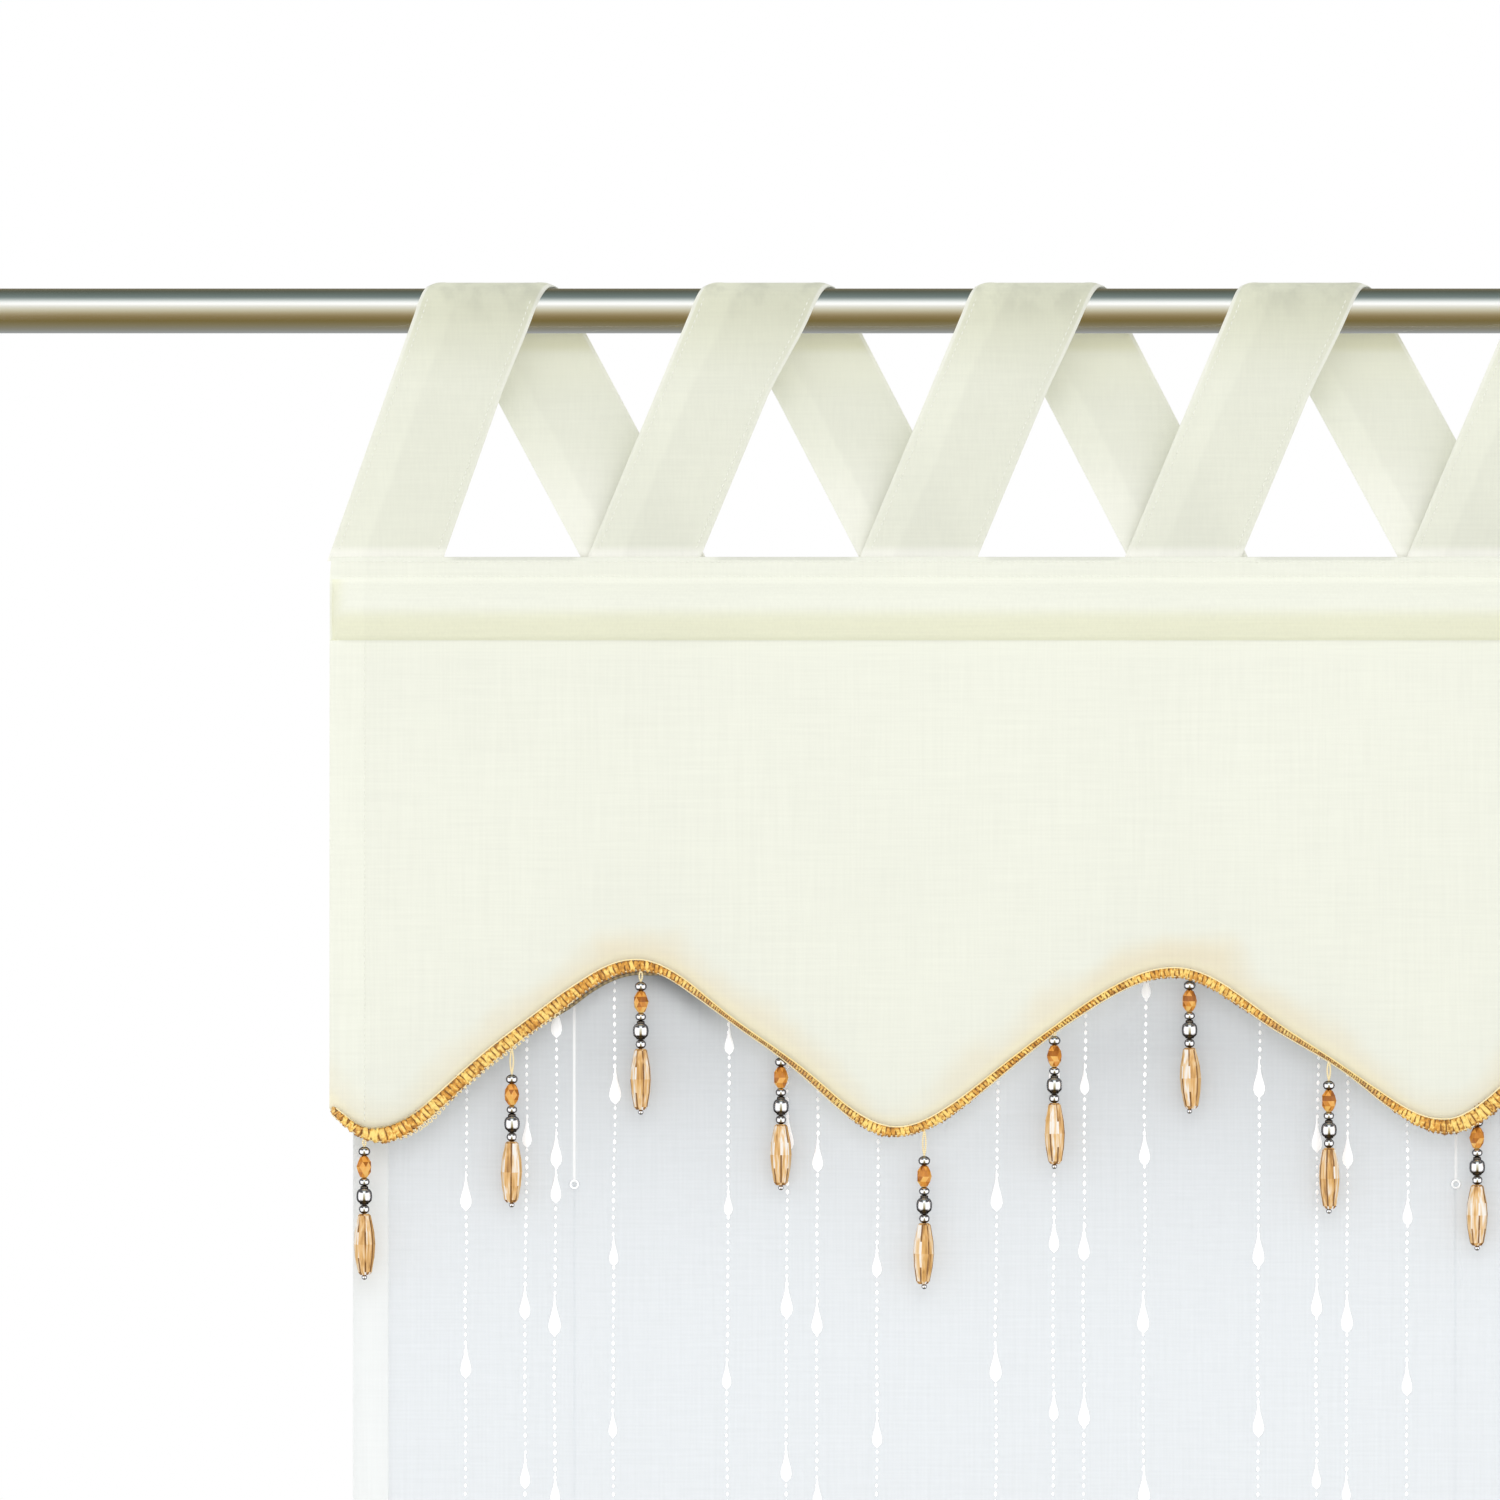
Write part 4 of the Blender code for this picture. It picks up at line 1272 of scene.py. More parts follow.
def braid_tree():
    gimp = Grower("gimp braid", Wound_Flat=float, Core_Flat=float)
    line = gimp.steps(YARN_STEP)
    half = gimp.named("width") * 0.5
    turns = gimp.named("turns")
    wander = gimp.node("ShaderNodeTexNoise", {"noise_dimensions": "1D"}, {"W": turns * 1.1, "Scale": 1.0})
    tangent = gimp.geometry("InputTangent")
    upward = gimp.vector("NORMALIZE", gimp.vector("CROSS_PRODUCT", tangent, (0, 1, 0)))
    distance = gimp.geometry("SplineParameter", output="Length")

    def wound(turned, yarn, spread, depth, sides):
        """One yarn that goes round the braid."""
        swing = turned * math.tau
        sideways = swing.math("COSINE")
        front = swing.math("SINE")
        marked = line
        for label, value in (("along", distance), ("raised", front), ("across", sideways), ("yarn", yarn)):
            marked = gimp.mark(marked, label, value)
        across = gimp.scaled(upward, sideways * (half - yarn) * spread)
        offset = gimp.vector("ADD", across, gimp.xyz(0, front * -depth, 0))
        laid = gimp.geometry("SetPosition", Geometry=marked, Offset=offset)
        return gimp.swept(laid, gimp.named("yarn"), sides)

    def pressed(part, flat):
        """The part flattened from front to back, about the braid's middle."""
        spot = gimp.axes(gimp.geometry("InputPosition"))
        middle = gimp.named("middle")
        place = gimp.xyz(spot, middle + (spot.out("Y") - middle) * flat, spot.out("Z"))
        return gimp.geometry("SetPosition", Geometry=part, Position=place)

    slim = gimp.smooth(half, 0.0024, 0.0014)
    thick = (gimp.named("pitch") * (0.42 - slim * 0.13)).math("MINIMUM", half * 0.52) * (0.76 + wander * 0.44)
    thick_yarn = wound(turns, thick, 1.40 - wander * 0.8, YARN_SWING, 6)
    turns = turns * THIN_YARN_TURNS + wander * 0.5
    thin_yarn = wound(turns, thick * 0.42, 0.62 + wander * 0.8, THIN_YARN_SWING, 5)
    # the core is marked as lying behind, so it gets the pits' painted shade
    core = gimp.swept(gimp.mark(gimp.steps(CORE_STEP), "raised", -0.45), half * 0.76, 8)
    yarns = pressed(gimp.join([thick_yarn, thin_yarn]), gimp.input("Wound Flat"))
    return gimp.finish(gimp.join([yarns, pressed(core, gimp.input("Core Flat"))]))


print("the thick yarn swings", YARN_SWING * 1000, "mm to the front and back")


# %% [markdown]
# A point of the yarn knows whether it lies in front or at the side, so the pits and the core get painted
# shade and the ridges' fronts and upper sides a painted highlight.
# A white noise on the number of the turn gives every ridge its own tone.


# %% Gold yarn
FIBRE_PITCH = 0.00030
GOLD_PIT_SHADE = (0.36, 0.150, 0.018)
GOLD_SIDE = (0.76, 0.360, 0.045)
GOLD_TOP_HIGHLIGHT = (1.0, 0.72, 0.20)
GOLD_YELLOW = (1.0, 0.78, 0.24)
GOLD_FADED = (0.56, 0.46, 0.30)


def gold_yarn():
    gold = Finish("gold_yarn", 0.34, 0.08, Sheen_Weight=0.2)
    ridge = (gold.read("turns") + 0.25).math("FLOOR")
    each = gold.node("ShaderNodeTexWhiteNoise", {"noise_dimensions": "1D"}, {"W": ridge}) - 0.5
    shade = gold.noise(gold.place(), 800, 2)
    patch = gold.noise(gold.place(), 60, 2)
    # painted light: each turn's front and upper side lighter, the pits darker
    lit = gold.read("raised") + gold.read("across") * 0.10 + (shade - 0.5) * 2.6 + each * 0.9
    deep = gold.mix(gold.smooth(lit, -0.10, 0.75), GOLD_PIT_SHADE, GOLD_SIDE)
    colour = gold.mix(gold.smooth(lit, 0.70, 1.35), deep, GOLD_TOP_HIGHLIGHT)
    yellow = gold.smooth(patch, 0.46, 0.62) * gold.smooth(lit, 0.2, 0.9) * 0.6
    colour = gold.mix(yellow, colour, GOLD_YELLOW)
    gold.set("Base Color", gold.mix(gold.read("faded"), colour, GOLD_FADED))
    gold.set("Roughness", 0.30 + shade * 0.2)
    fibres = (gold.read("along") * (math.tau / FIBRE_PITCH)).math("SINE")
    gold.bump(fibres * 0.4 + shade, 0.00008, 0.6)
    return gold.material


gimp_braid = braid_tree().run("gimp_braid", hem_line(), wound_flat=0.55, core_flat=0.16, material=gold_yarn())

# %% [markdown]
# A thin cream cord runs along the braid's upper edge, where it is sewn to the cloth. On the first climb a
# pale gold one makes small loops below the lower edge, like lace. A dark cord set behind the braid at the top
# of the first arch is a painted shadow under the braid. Each is a single twisted yarn, so a thin tube with a
# twist in its bump is all it takes.

# %% Edge cords
CORD_STEP = 0.0008
OLD_GOLD_TWIST = 0.0026
PALE_GOLD_TWIST = 0.0009
OLD_GOLD_DARK = (0.15, 0.115, 0.060)
OLD_GOLD_LIGHT = (0.36, 0.27, 0.13)
CREAM_GOLD = (1.0, 0.86, 0.50)
WARM_GOLD = (1.0, 0.80, 0.36)
PALE_GOLD_DARK = (0.82, 0.62, 0.28)
PALE_GOLD_LIGHT = (1.0, 0.90, 0.60)


def cord_maker():
    cord = Grower("edge cord", Radius=float, Step=float)
    distance = cord.geometry("SplineParameter", output="Length")
    line = cord.mark(cord.steps(cord.input("Step")), "along", distance)
    return cord.finish(cord.swept(line, cord.input("Radius"), 6))


def old_gold():
    cord = Finish("old_gold_cord", 0.5, 0.05)
    twist = cord.twist(OLD_GOLD_TWIST)
    pale = cord.read("pale")
    colour = cord.mix(pale, cord.mix(twist, OLD_GOLD_DARK, OLD_GOLD_LIGHT), CREAM_GOLD)
    cord.set("Base Color", cord.mix(cord.smooth(pale, 1.0, 2.0), colour, WARM_GOLD))
    cord.bump(twist, 0.0001, 0.6)
    return cord.material


def pale_gold():
    thread = Finish("pale_gold_thread", 0.45, 0.1, Sheen_Weight=0.3)
    twist = thread.twist(PALE_GOLD_TWIST)
    thread.set("Base Color", thread.mix(twist, PALE_GOLD_DARK, PALE_GOLD_LIGHT))
    thread.bump(twist, 0.0001, 0.6)
    return thread.material


print("twists of the cords, mm:", OLD_GOLD_TWIST * 1000, PALE_GOLD_TWIST * 1000)

# %% [markdown]
# A cord's path is the braid's edge, moved in or out a little with the braid's width. The lace also swings
# down and sideways once each pitch, which draws its loops.


# %% Paths of the edge cords
EDGE_POINTS = 1900
LACE_PITCH = 0.0020
LACE_LOOP = 0.0024
LACE_END = -0.385
ARCH_END = -0.325


def braid_edge(side, inset, out=0.0, looped=0.0, behind=-0.0004, dark=False):
    """A line along the braid's upper edge (side 1) or lower edge (side -1), marked with how pale its cord is.
    The dark one, a painted shadow, shows at the first arch alone, and the looped one is lace until LACE_END."""
    line = []
    pale = []
    for i in range(EDGE_POINTS + 1):
        x = (SHADE_WIDTH - 0.004) * (i / EDGE_POINTS - 0.5)
        slope = hem_slope(x)
        up = Vector((-slope, 0, 1)).normalized()
        width = braid_width(x)
        wide = ease((width - 0.0030) / 0.0026)
        climbing = wide * ease(slope / 0.5) * ease((LACE_END - x) / 0.02)
        swing = looped * climbing * (0.7 + noise.noise(Vector((x * 60, 1.0, 0.0))))
        phase = math.tau * x / LACE_PITCH
        if dark:
            crown = ease((hem_z(x) + 0.320) / 0.016) * ease((slope + 0.55) / 0.35)
            reach = width / 2 - inset + out * (crown * ease((ARCH_END - x) / 0.02))
        else:
            reach = width / 2 - inset * wide + out * (1 - wide) + swing * (math.sin(phase) * 0.5 + 0.5)
        tangent = Vector((1, 0, slope)).normalized() * swing * 0.8 * math.cos(phase)
        line.append(tuple(Vector((x, braid_y(x) + behind, braid_z(x))) + side * reach * up + tangent))
        pale.append(0.0 if dark else 1 + (1 - wide) * 0.9 - 0.6 * ease((-0.448 - x) / 0.02))
    mesh = line_mesh("braid edge", [line])
    store(mesh, "pale", pale)
    return mesh


cords = cord_maker()
thread_gold = pale_gold()
cord_gold = old_gold()
upper_edge = braid_edge(1, 0.0002, out=-0.0001)
lace = braid_edge(-1, 0.0010, looped=LACE_LOOP)
# a dark cord put under the braid as a painted shadow
shadow = braid_edge(-1, 0.0014, out=0.0020, behind=0.0008, dark=True)
edge_cords = []
for name, line, radius, step, material in (
    ("edge_cord", upper_edge, 0.00034, CORD_STEP, cord_gold),
    ("loop_cord", lace, 0.00028, CORD_STEP / 2, thread_gold),
    ("under_cord", shadow, 0.00085, CORD_STEP, cord_gold),
):
    edge_cords.append(cords.run(name, line, radius=radius, step=step, material=material))

# %% [markdown]
# Seventeen pendants hang from the braid, each on its own length of thread. From the top: a small silver
# bead, a cut amber bead, two silver beads of which one is a large drum with a collar at both ends, another
# small one, a long cut drop of peach glass and an end bead. All are turned outlines. The amber ones have few
# sides, set a half side apart from ring to ring, which gives the triangles of a cut stone. Cut glass
# sparkles because each side throws back another part of the room, so every side gets a tone of its own as an
# attribute, and the material reads it: the sparkle is painted reflection.

# %% Pendants
# its place along the hem, its bare thread, and how far behind the braid it hangs
Pendant = namedtuple("Pendant", "x thread back", defaults=(0.0,))
PENDANTS = [
    Pendant(*row)
    for row in (
        (-0.4844, 0.0026), (-0.4187, 0.0109), (-0.3612, 0.0041), (-0.2987, -0.0008, 0.0030),
        (-0.2348, 0.0106), (-0.1768, 0.0006), (-0.1165, -0.0002, 0.0030), (-0.0545, 0.0078),
        (0.0120, -0.0040, 0.0030), (0.0710, 0.0058), (0.1290, 0.0024), (0.1880, 0.0014),
        (0.2470, 0.0100), (0.3050, 0.0010), (0.3630, 0.0040), (0.4230, 0.0085), (0.4810, 0.0030),
    )
]
# a bead's outline, as shares of its length from the top and of its radius
ROUND = (
    (0.0, 0.30), (0.06, 0.55), (0.2, 0.84), (0.36, 0.97), (0.5, 1.0), (0.64, 0.97), (0.8, 0.84),
    (0.94, 0.55), (1.0, 0.30),
)
DRUM = (
    (0.0, 0.34), (0.03, 0.48), (0.09, 0.50), (0.14, 0.50), (0.20, 0.74), (0.30, 0.92), (0.42, 0.985),
    (0.54, 1.0), (0.66, 0.985), (0.78, 0.92), (0.87, 0.74), (0.92, 0.56), (0.97, 0.54), (1.0, 0.36),
)
BARREL = ((0.0, 0.36), (0.05, 0.54), (0.26, 0.88), (0.50, 1.0), (0.74, 0.88), (0.95, 0.52), (1.0, 0.34))
DROP = ((0.0, 0.40), (0.03, 0.62), (0.30, 0.92), (0.50, 1.0), (0.72, 0.90), (0.955, 0.66), (1.0, 0.46))
Bead = namedtuple("Bead", "stuff diameter length outline sides")
BEADS = (
    Bead("silver", 0.0054, 0.0041, ROUND, 20),
    Bead("amber", 0.0068, 0.0097, BARREL, 7),
    Bead("silver", 0.0048, 0.0036, ROUND, 20),
    Bead("silver", 0.0071, 0.0084, DRUM, 20),
    Bead("silver", 0.0047, 0.0040, ROUND, 20),
    Bead("peach", 0.0098, 0.0272, DROP, 8),
    Bead("silver", 0.0024, 0.0022, ROUND, 12),
)
print("beads on a pendant:", len(BEADS))

# %% [markdown]
# Each bead is built ring by ring from its outline. The peach drop's long edges are then bevelled into narrow
# facets, painted near black or near white as reflections, which is how the edges of cut glass look.


# %% Bead shapes
# painted reflections of the peach drop's eight sides: at its neck, above and below its middle, at its foot
DROP_NECK = (0.30, 0.15, 0.35, 0.20, 0.30, 0.15, 0.35, 0.20)
DROP_UPPER = (0.82, 0.42, 0.62, 0.34, 0.76, 0.36, 0.80, 0.50)
DROP_LOWER = (0.68, 0.54, 0.44, 0.46, 0.60, 0.56, 0.54, 0.58)
DROP_FOOT = (0.10, 0.60, 0.00, 0.40, 0.10, 0.70, 0.05, 0.30)
DROP_TONES = (DROP_NECK, DROP_UPPER, DROP_UPPER, DROP_LOWER, DROP_LOWER, DROP_FOOT)
DROP_BEVEL = 0.00040
BEVEL_TONES = (-0.15, -0.05, 0.05, 0.75, 1.1)
AMBER_CUT_TONES = (0.10, 0.30, 0.56)
COLLAR = 0.6  # share of a bead's radius within which it is a dark collar


def bead_rings(bm, bead):
    """The rings of corners down a bead. On an amber bead every other ring is set half a side on."""
    rings = []
    for level, (down, wide) in enumerate(bead.outline):
        half_side = 0.5 * (level % 2) if bead.stuff == "amber" else 0.0
        turns = [math.tau * (i + half_side) / bead.sides for i in range(bead.sides)]
        radius = bead.diameter / 2 * wide
        corners = [(radius * math.cos(a), radius * math.sin(a), -bead.length * down) for a in turns]
        rings.append([bm.verts.new(corner) for corner in corners])
    return rings


def bead_shape(number, bead):
    """A turned bead, closed at both ends, with how far down each corner is and how light each side looks."""
    bm = bmesh.new()
    tone = bm.faces.layers.float.new("tone")
    draw = random.Random(number)
    rings = bead_rings(bm, bead)
    for level, (ring, following) in enumerate(zip(rings, rings[1:])):
        for i in range(bead.sides):
            after = (i + 1) % bead.sides
            a, b, c, d = ring[i], following[i], following[after], ring[after]
            if bead.stuff != "amber":
                cuts = [(a, b, c, d)]
            elif level % 2:
                cuts = [(a, b, c), (a, c, d)]
            else:
                cuts = [(a, b, d), (d, b, c)]
            for cut in cuts:
                face = bm.faces.new(cut)
                if bead.stuff == "peach":
                    face[tone] = DROP_TONES[level][i]
                else:
                    # the lower sides of an amber bead get painted light
                    lower = level / (len(rings) - 2)
                    face[tone] = clamp(draw.choice(AMBER_CUT_TONES) + 0.26 * lower)
    bm.faces.new(reversed(rings[0]))
    bm.faces.new(rings[-1])
    bmesh.ops.recalc_face_normals(bm, faces=bm.faces)
    if bead.stuff == "peach":
        long_edges = [edge for edge in bm.edges if abs(edge.verts[0].co.z - edge.verts[1].co.z) > 0.001]
        bevel = bmesh.ops.bevel(bm, geom=long_edges, offset=DROP_BEVEL, segments=1, affect="EDGES")
        for face in bevel["faces"]:
            face[tone] = draw.choice(BEVEL_TONES)
    mesh = mesh_from(bm, f"bead {number}")
    if bead.stuff == "silver":
        mesh.shade_smooth()
    down = []
    for vertex in mesh.vertices:
        in_collar = math.hypot(vertex.co.x, vertex.co.y) < bead.diameter / 2 * COLLAR
        down.append(1.0 if in_collar else -vertex.co.z / bead.length)
    store(mesh, "down", down)
    return add_object(mesh.name, mesh)


bead_shapes = [bead_shape(number, bead) for number, bead in enumerate(BEADS, 1)]
print("faces of the beads:", [len(shape.data.polygons) for shape in bead_shapes])

# %% [markdown]
# Silver is a mirror, so its finish is only where it gets darker: in the hollows, where polish doesn't reach,
# and with painted shade at its top and its lower part. For glass this small a traced path of the light would
# be noisy, so a ramp turns each side's tone into the colour that it throws back, a painted reflection, and a
# little transmission is left for the real light.


# %% Silver and cut glass
SILVER_TOP_SHADE = (0.62, 0.64, 0.67)
SILVER_BRIGHT = (0.88, 0.88, 0.89)
SILVER_HOLLOW_AND_SHADE = (0.14, 0.115, 0.09)
AMBER_TONES = (
    (0.00, (0.20, 0.050, 0.006)), (0.30, (0.52, 0.180, 0.025)), (0.60, (0.90, 0.380, 0.065)),
    (0.85, (0.98, 0.640, 0.190)), (1.00, (1.00, 0.900, 0.600)),
)
PEACH_TONES = (
    (0.00, (0.24, 0.110, 0.035)), (0.22, (0.58, 0.300, 0.095)), (0.45, (0.82, 0.480, 0.170)),
    (0.70, (0.93, 0.680, 0.400)), (0.92, (1.00, 0.950, 0.880)),
)


def silver():
    """Plated beads: bright in the middle, a little darker at the top as painted shade, and dark in the
    hollows that no polish reaches and towards the foot, where the dark is painted shade too.
    """
    metal = Finish("bead_silver", 0.06, 1.0)
    tarnish = metal.noise(metal.place(), 900, 3)
    down = metal.read("down") + (tarnish - 0.5) * 0.12
    # painted shade: a little darker at the top, and very dark towards the foot as well as in the hollows
    shaded = metal.mix(metal.smooth(down, 0.22, 0.06), SILVER_BRIGHT, SILVER_TOP_SHADE)
    metal.set("Base Color", metal.mix(metal.smooth(down, 0.68, 0.82), shaded, SILVER_HOLLOW_AND_SHADE))
    metal.set("Roughness", 0.05 + tarnish * 0.12)
    return metal.material


def cut_glass(name, stops, streaks):
    """Glass whose sides each show a painted reflection of their own part of the light, in upright streaks."""
    glass = Finish(name, 0.02, Transmission_Weight=0.15, IOR=1.5, Specular_IOR_Level=0.3)
    swirl = glass.noise(glass.place(1, 1, 0.07), 900, 2)
    glass.set("Base Color", glass.ramp(glass.read("tone") + (swirl - 0.5) * streaks, stops))
    glass.set("Roughness", 0.02 + swirl * 0.05)
    return glass.material


bead_finishes = {
    "silver": silver(),
    "amber": cut_glass("bead_amber", AMBER_TONES, 0.3),
    "peach": cut_glass("bead_peach", PEACH_TONES, 1.5),
}
print("bead finishes:", ", ".join(bead_finishes))

# %% [markdown]
# One tree for each material hangs its beads below the points where the threads leave the braid. Every bead
# is turned and leant by a little of its own, because no two strings hang alike.


# %% Hanging the beads
def bead_tree(stuff, shapes):
    """Hangs every bead of one stuff below each point, past the thread and the beads above it."""
    strings = Grower(f"{stuff} beads", Lean=float)
    most = strings.input("Lean")
    parts = []
    depth = 0.0
    for number, (bead, shape) in enumerate(zip(BEADS, shapes)):
        if bead.stuff == stuff:
            drop = strings.xyz(0, 0, (strings.named("thread") + depth) * -1)
            hung = strings.geometry("SetPosition", Geometry=strings.input("Geometry"), Offset=drop)
            lean = strings.random(most * -1, most, number + 20)
            turned = strings.xyz(lean, lean * 0.7, strings.random(0.0, math.tau, number))
            bead_mesh = strings.shape(shape)
            parts.append(
                strings.geometry("InstanceOnPoints", Points=hung, Instance=bead_mesh, Rotation=turned)
            )
        depth += bead.length
    return strings.finish(strings.join(parts))


def pendant_tops():
    """Where each pendant's thread leaves the braid."""
    tops = []
    for row in PENDANTS:
        edge = hem_z(row.x) - braid_width(row.x) / 2 * steepness(row.x)
        tops.append((row.x, braid_y(row.x) + row.back, edge - SEAT_GAP - 0.0005 * abs(hem_slope(row.x))))
    return tops


strings = {}
for stuff, material in bead_finishes.items():
    tops = points_mesh("tops", pendant_tops(), thread=[row.thread for row in PENDANTS])
    strings[stuff] = bead_tree(stuff, bead_shapes).run(f"{stuff}_beads", tops, lean=0.03, material=material)
for shape in bead_shapes:
    bpy.data.objects.remove(shape)

# %% [markdown]
# Each pendant's thread shows as a short pale gold loop between the braid and the first bead, and runs on
# inside the beads to the foot of the last one.

# %% Pendant threads
PENDANT_THREAD_RADIUS = 0.00042
LOOP_WIDTH = 0.0007
LOOP_TUCK = 0.0012


def thread_lines():
    """Both sides of every loop, and the thread on through the beads."""
    lines = []
    length = sum(bead.length for bead in BEADS)
    for (x, y, z), row in zip(pendant_tops(), PENDANTS):
        for side in (LOOP_WIDTH, -LOOP_WIDTH):
            shares = [i / 24 for i in range(25)]
            drop = row.thread + LOOP_TUCK
            lines.append([(x + side * math.sin(math.pi * s), y, z + LOOP_TUCK - s * drop) for s in shares])
        lines.append([(x, y, z - row.thread - length * i / 4) for i in range(5)])
    return lines


threads = line_mesh("thread lines", thread_lines())
sizes = {"radius": PENDANT_THREAD_RADIUS, "step": CORD_STEP}
pendant_threads = cords.run("pendant_threads", threads, material=thread_gold, **sizes)

# %% [markdown]
# The sheer panel is a fine voile. It is a real sheet with a front and a back face, doubled at its side and
# bottom hems. Its threads are mostly air, so the shader mixes cloth with nothing: its Alpha is lower between
# the threads, higher at the hems and along the three lines where the lift cords are tacked on, and the slubs
# of the yarn show as faint streaks in both directions. Just under the scalloped hem the voile gets painted
# light in some places and painted shadow in others, which a table says and an attribute carries to the
# material.

# %% Sheer panel
SHEER_CLOTH = 0.0005
SHEER_HEM = 0.0013
SHEER_RIPPLE = 0.0004
SHEER_COLUMNS = 190
FINE_TOP = -0.285  # between these heights the rows of points are close, for the light under the hem
FINE_BOTTOM = -0.405
LIT_REACH = 0.0115  # how far below the hem the voile is lighter
SHADED_REACH = 0.0080
# places along the hem, and how much painted light the voile gets right under it there, or painted shadow
# where it is negative
UNDER_HEM_PAINTED_LIGHT = (
    (-0.500, 0.00), (-0.395, 0.00), (-0.372, -0.10), (-0.352, -0.64), (-0.338, -0.50), (-0.322, 0.00),
    (-0.310, 0.14), (-0.262, 0.15), (-0.215, 0.13), (-0.200, 0.26), (-0.150, 0.24), (-0.128, 0.17),
    (-0.105, 0.05), (-0.065, 0.03), (-0.030, 0.10), (0.040, 0.05), (0.095, -0.20), (0.125, -0.50),
    (0.150, 0.00), (0.200, 0.14), (0.300, 0.20), (0.370, -0.20), (0.400, 0.00), (0.500, 0.00),
)


def painted_light_under_hem(x, z):
    """How much painted light the voile gets just under the hem, or painted shadow where it is negative."""
    lift = interpolated(UNDER_HEM_PAINTED_LIGHT, x)
    below = max(0.0, hem_z(x) - z) / steepness(x)
    reach = LIT_REACH if lift > 0 else SHADED_REACH
    return lift * math.exp(-((below / reach) ** 2))


def spaced(start, end, count):
    """Values from start up to, but not with, end."""
    return [start + (end - start) * i / count for i in range(count)]


def sheer_panel():
    half = SHEER_WIDTH / 2
    step = 0.0006
    edge = half - 0.0004
    seam = half - SHEER_SIDE_HEM
    inner = seam - step
    middle = [inner * (2 * i / SHEER_COLUMNS - 1) for i in range(SHEER_COLUMNS + 1)]
    columns = [-half, -edge, -seam, *middle, seam, edge, half]
    bottom = -SHADE_DROP
    hem_top = bottom + SHEER_BOTTOM_HEM
    levels = spaced(SHEER_TOP, FINE_TOP, 17) + spaced(FINE_TOP, FINE_BOTTOM, 52)
    levels += spaced(FINE_BOTTOM, hem_top + step, 84)
    levels += [hem_top + step, hem_top, hem_top - 0.01, bottom + step, bottom]
    rows = []
    for z in levels:
        row = []
        for x in columns:
            in_hem = abs(x) > inner + step / 2 or z < hem_top + step / 2
            rim = abs(x) > half - 0.0002 or z < bottom + 0.0003
            cloth = (SHEER_HEM if in_hem else SHEER_CLOTH) / 2 * (0.4 if rim else 1.0)
            settled = ease((SHEER_TOP - 0.05 - z) / 0.2)
            y = sheer_y(x, z) + SHEER_RIPPLE * settled * noise.noise(Vector((x * 16, 5.0, z * 5)))
            row.append(((x, y - cloth, z), (x, y + cloth, z), float(in_hem), painted_light_under_hem(x, z)))
        rows.append(row)
    return closed_sheet("sheer_cloth", rows, ("hemmed", "lifted"))


sheer_cloth = sheer_panel()
print("sheer:", len(sheer_cloth.data.polygons), "faces")

# %% [markdown]
# The finish of the voile is mostly its Alpha. Towards the hem of the valance the cloth is darkened with
# painted shade, as the photograph shows it, and that shade fades out above the hem, where the panel is only
# seen from behind.


# %% Voile
LIFT_CORDS = (-0.391, 0.003, 0.397)
TACKED_TO = -0.389  # height of the first ring that shows, where the tacking ends
GAUZE_PITCH = 0.00045
VOILE = (0.814, 0.847, 0.873)
VOILE_HEM = (0.915, 0.935, 0.930)


def voile():
    cloth = Finish("sheer_voile", 0.8, Sheen_Weight=0.1, Specular_IOR_Level=0.2)
    spot = cloth.axes(cloth.place())
    z = spot.out("Z")
    fine = cloth.slubs(0.0010, 0.030)
    coarse = cloth.slubs(0.0035, 0.12)
    tacked = 0.0
    for x in LIFT_CORDS:
        tacked = cloth.smooth((spot - x).math("ABSOLUTE"), 0.0009, 0.0003) + tacked
    tacked = tacked * (z > TACKED_TO) * 0.8
    dense = cloth.sum("MAXIMUM", cloth.read("hemmed"), tacked)
    upper = cloth.node("ShaderNodeMapRange", {}, {"Value": z, "From Min": -0.51, "From Max": -0.33})
    in_sight = cloth.smooth(z, HEM_HIGH + 0.170, HEM_HIGH + 0.012)
    # painted shade, darker towards the valance's hem
    shaded = 1 - (upper**3.0) * in_sight * (1 - dense * 0.6) * 0.235
    # painted light and shadow under the hem, read from the mesh
    lifted = cloth.read("lifted")
    tone = (0.985 + fine * 0.02 + coarse * 0.012) * shaded * (1 + lifted)
    base = cloth.scaled(cloth.mix(dense, VOILE, VOILE_HEM), tone)
    cloth.set("Base Color", cloth.mix(tacked, base, WHITE))
    gauze = cloth.weave(GAUZE_PITCH)
    thin = 0.559 + gauze * 0.05 + fine * 0.04 + coarse * 0.015
    cloth.set("Alpha", cloth.sum("MAXIMUM", thin * (1 - lifted * 0.6), dense * 0.86 + tacked * 0.12))
    cloth.set("Roughness", 0.78 + fine * 0.1)
    cloth.bump(gauze + fine, 0.00006, 0.5)
    return cloth.material


sheer_cloth.data.materials.append(voile())
print("voile:", len(sheer_cloth.data.materials[0].node_tree.nodes), "nodes")

# %% [markdown]
# White thread is embroidered down the voile in groups of four lines, and drops of satin stitch hang on the
# lines. Four groups make a repeat, so a table of those is enough, and it comes again across the panel as
# often as there is room.

# %% Lines of embroidery
LINE_LEAN = 0.006
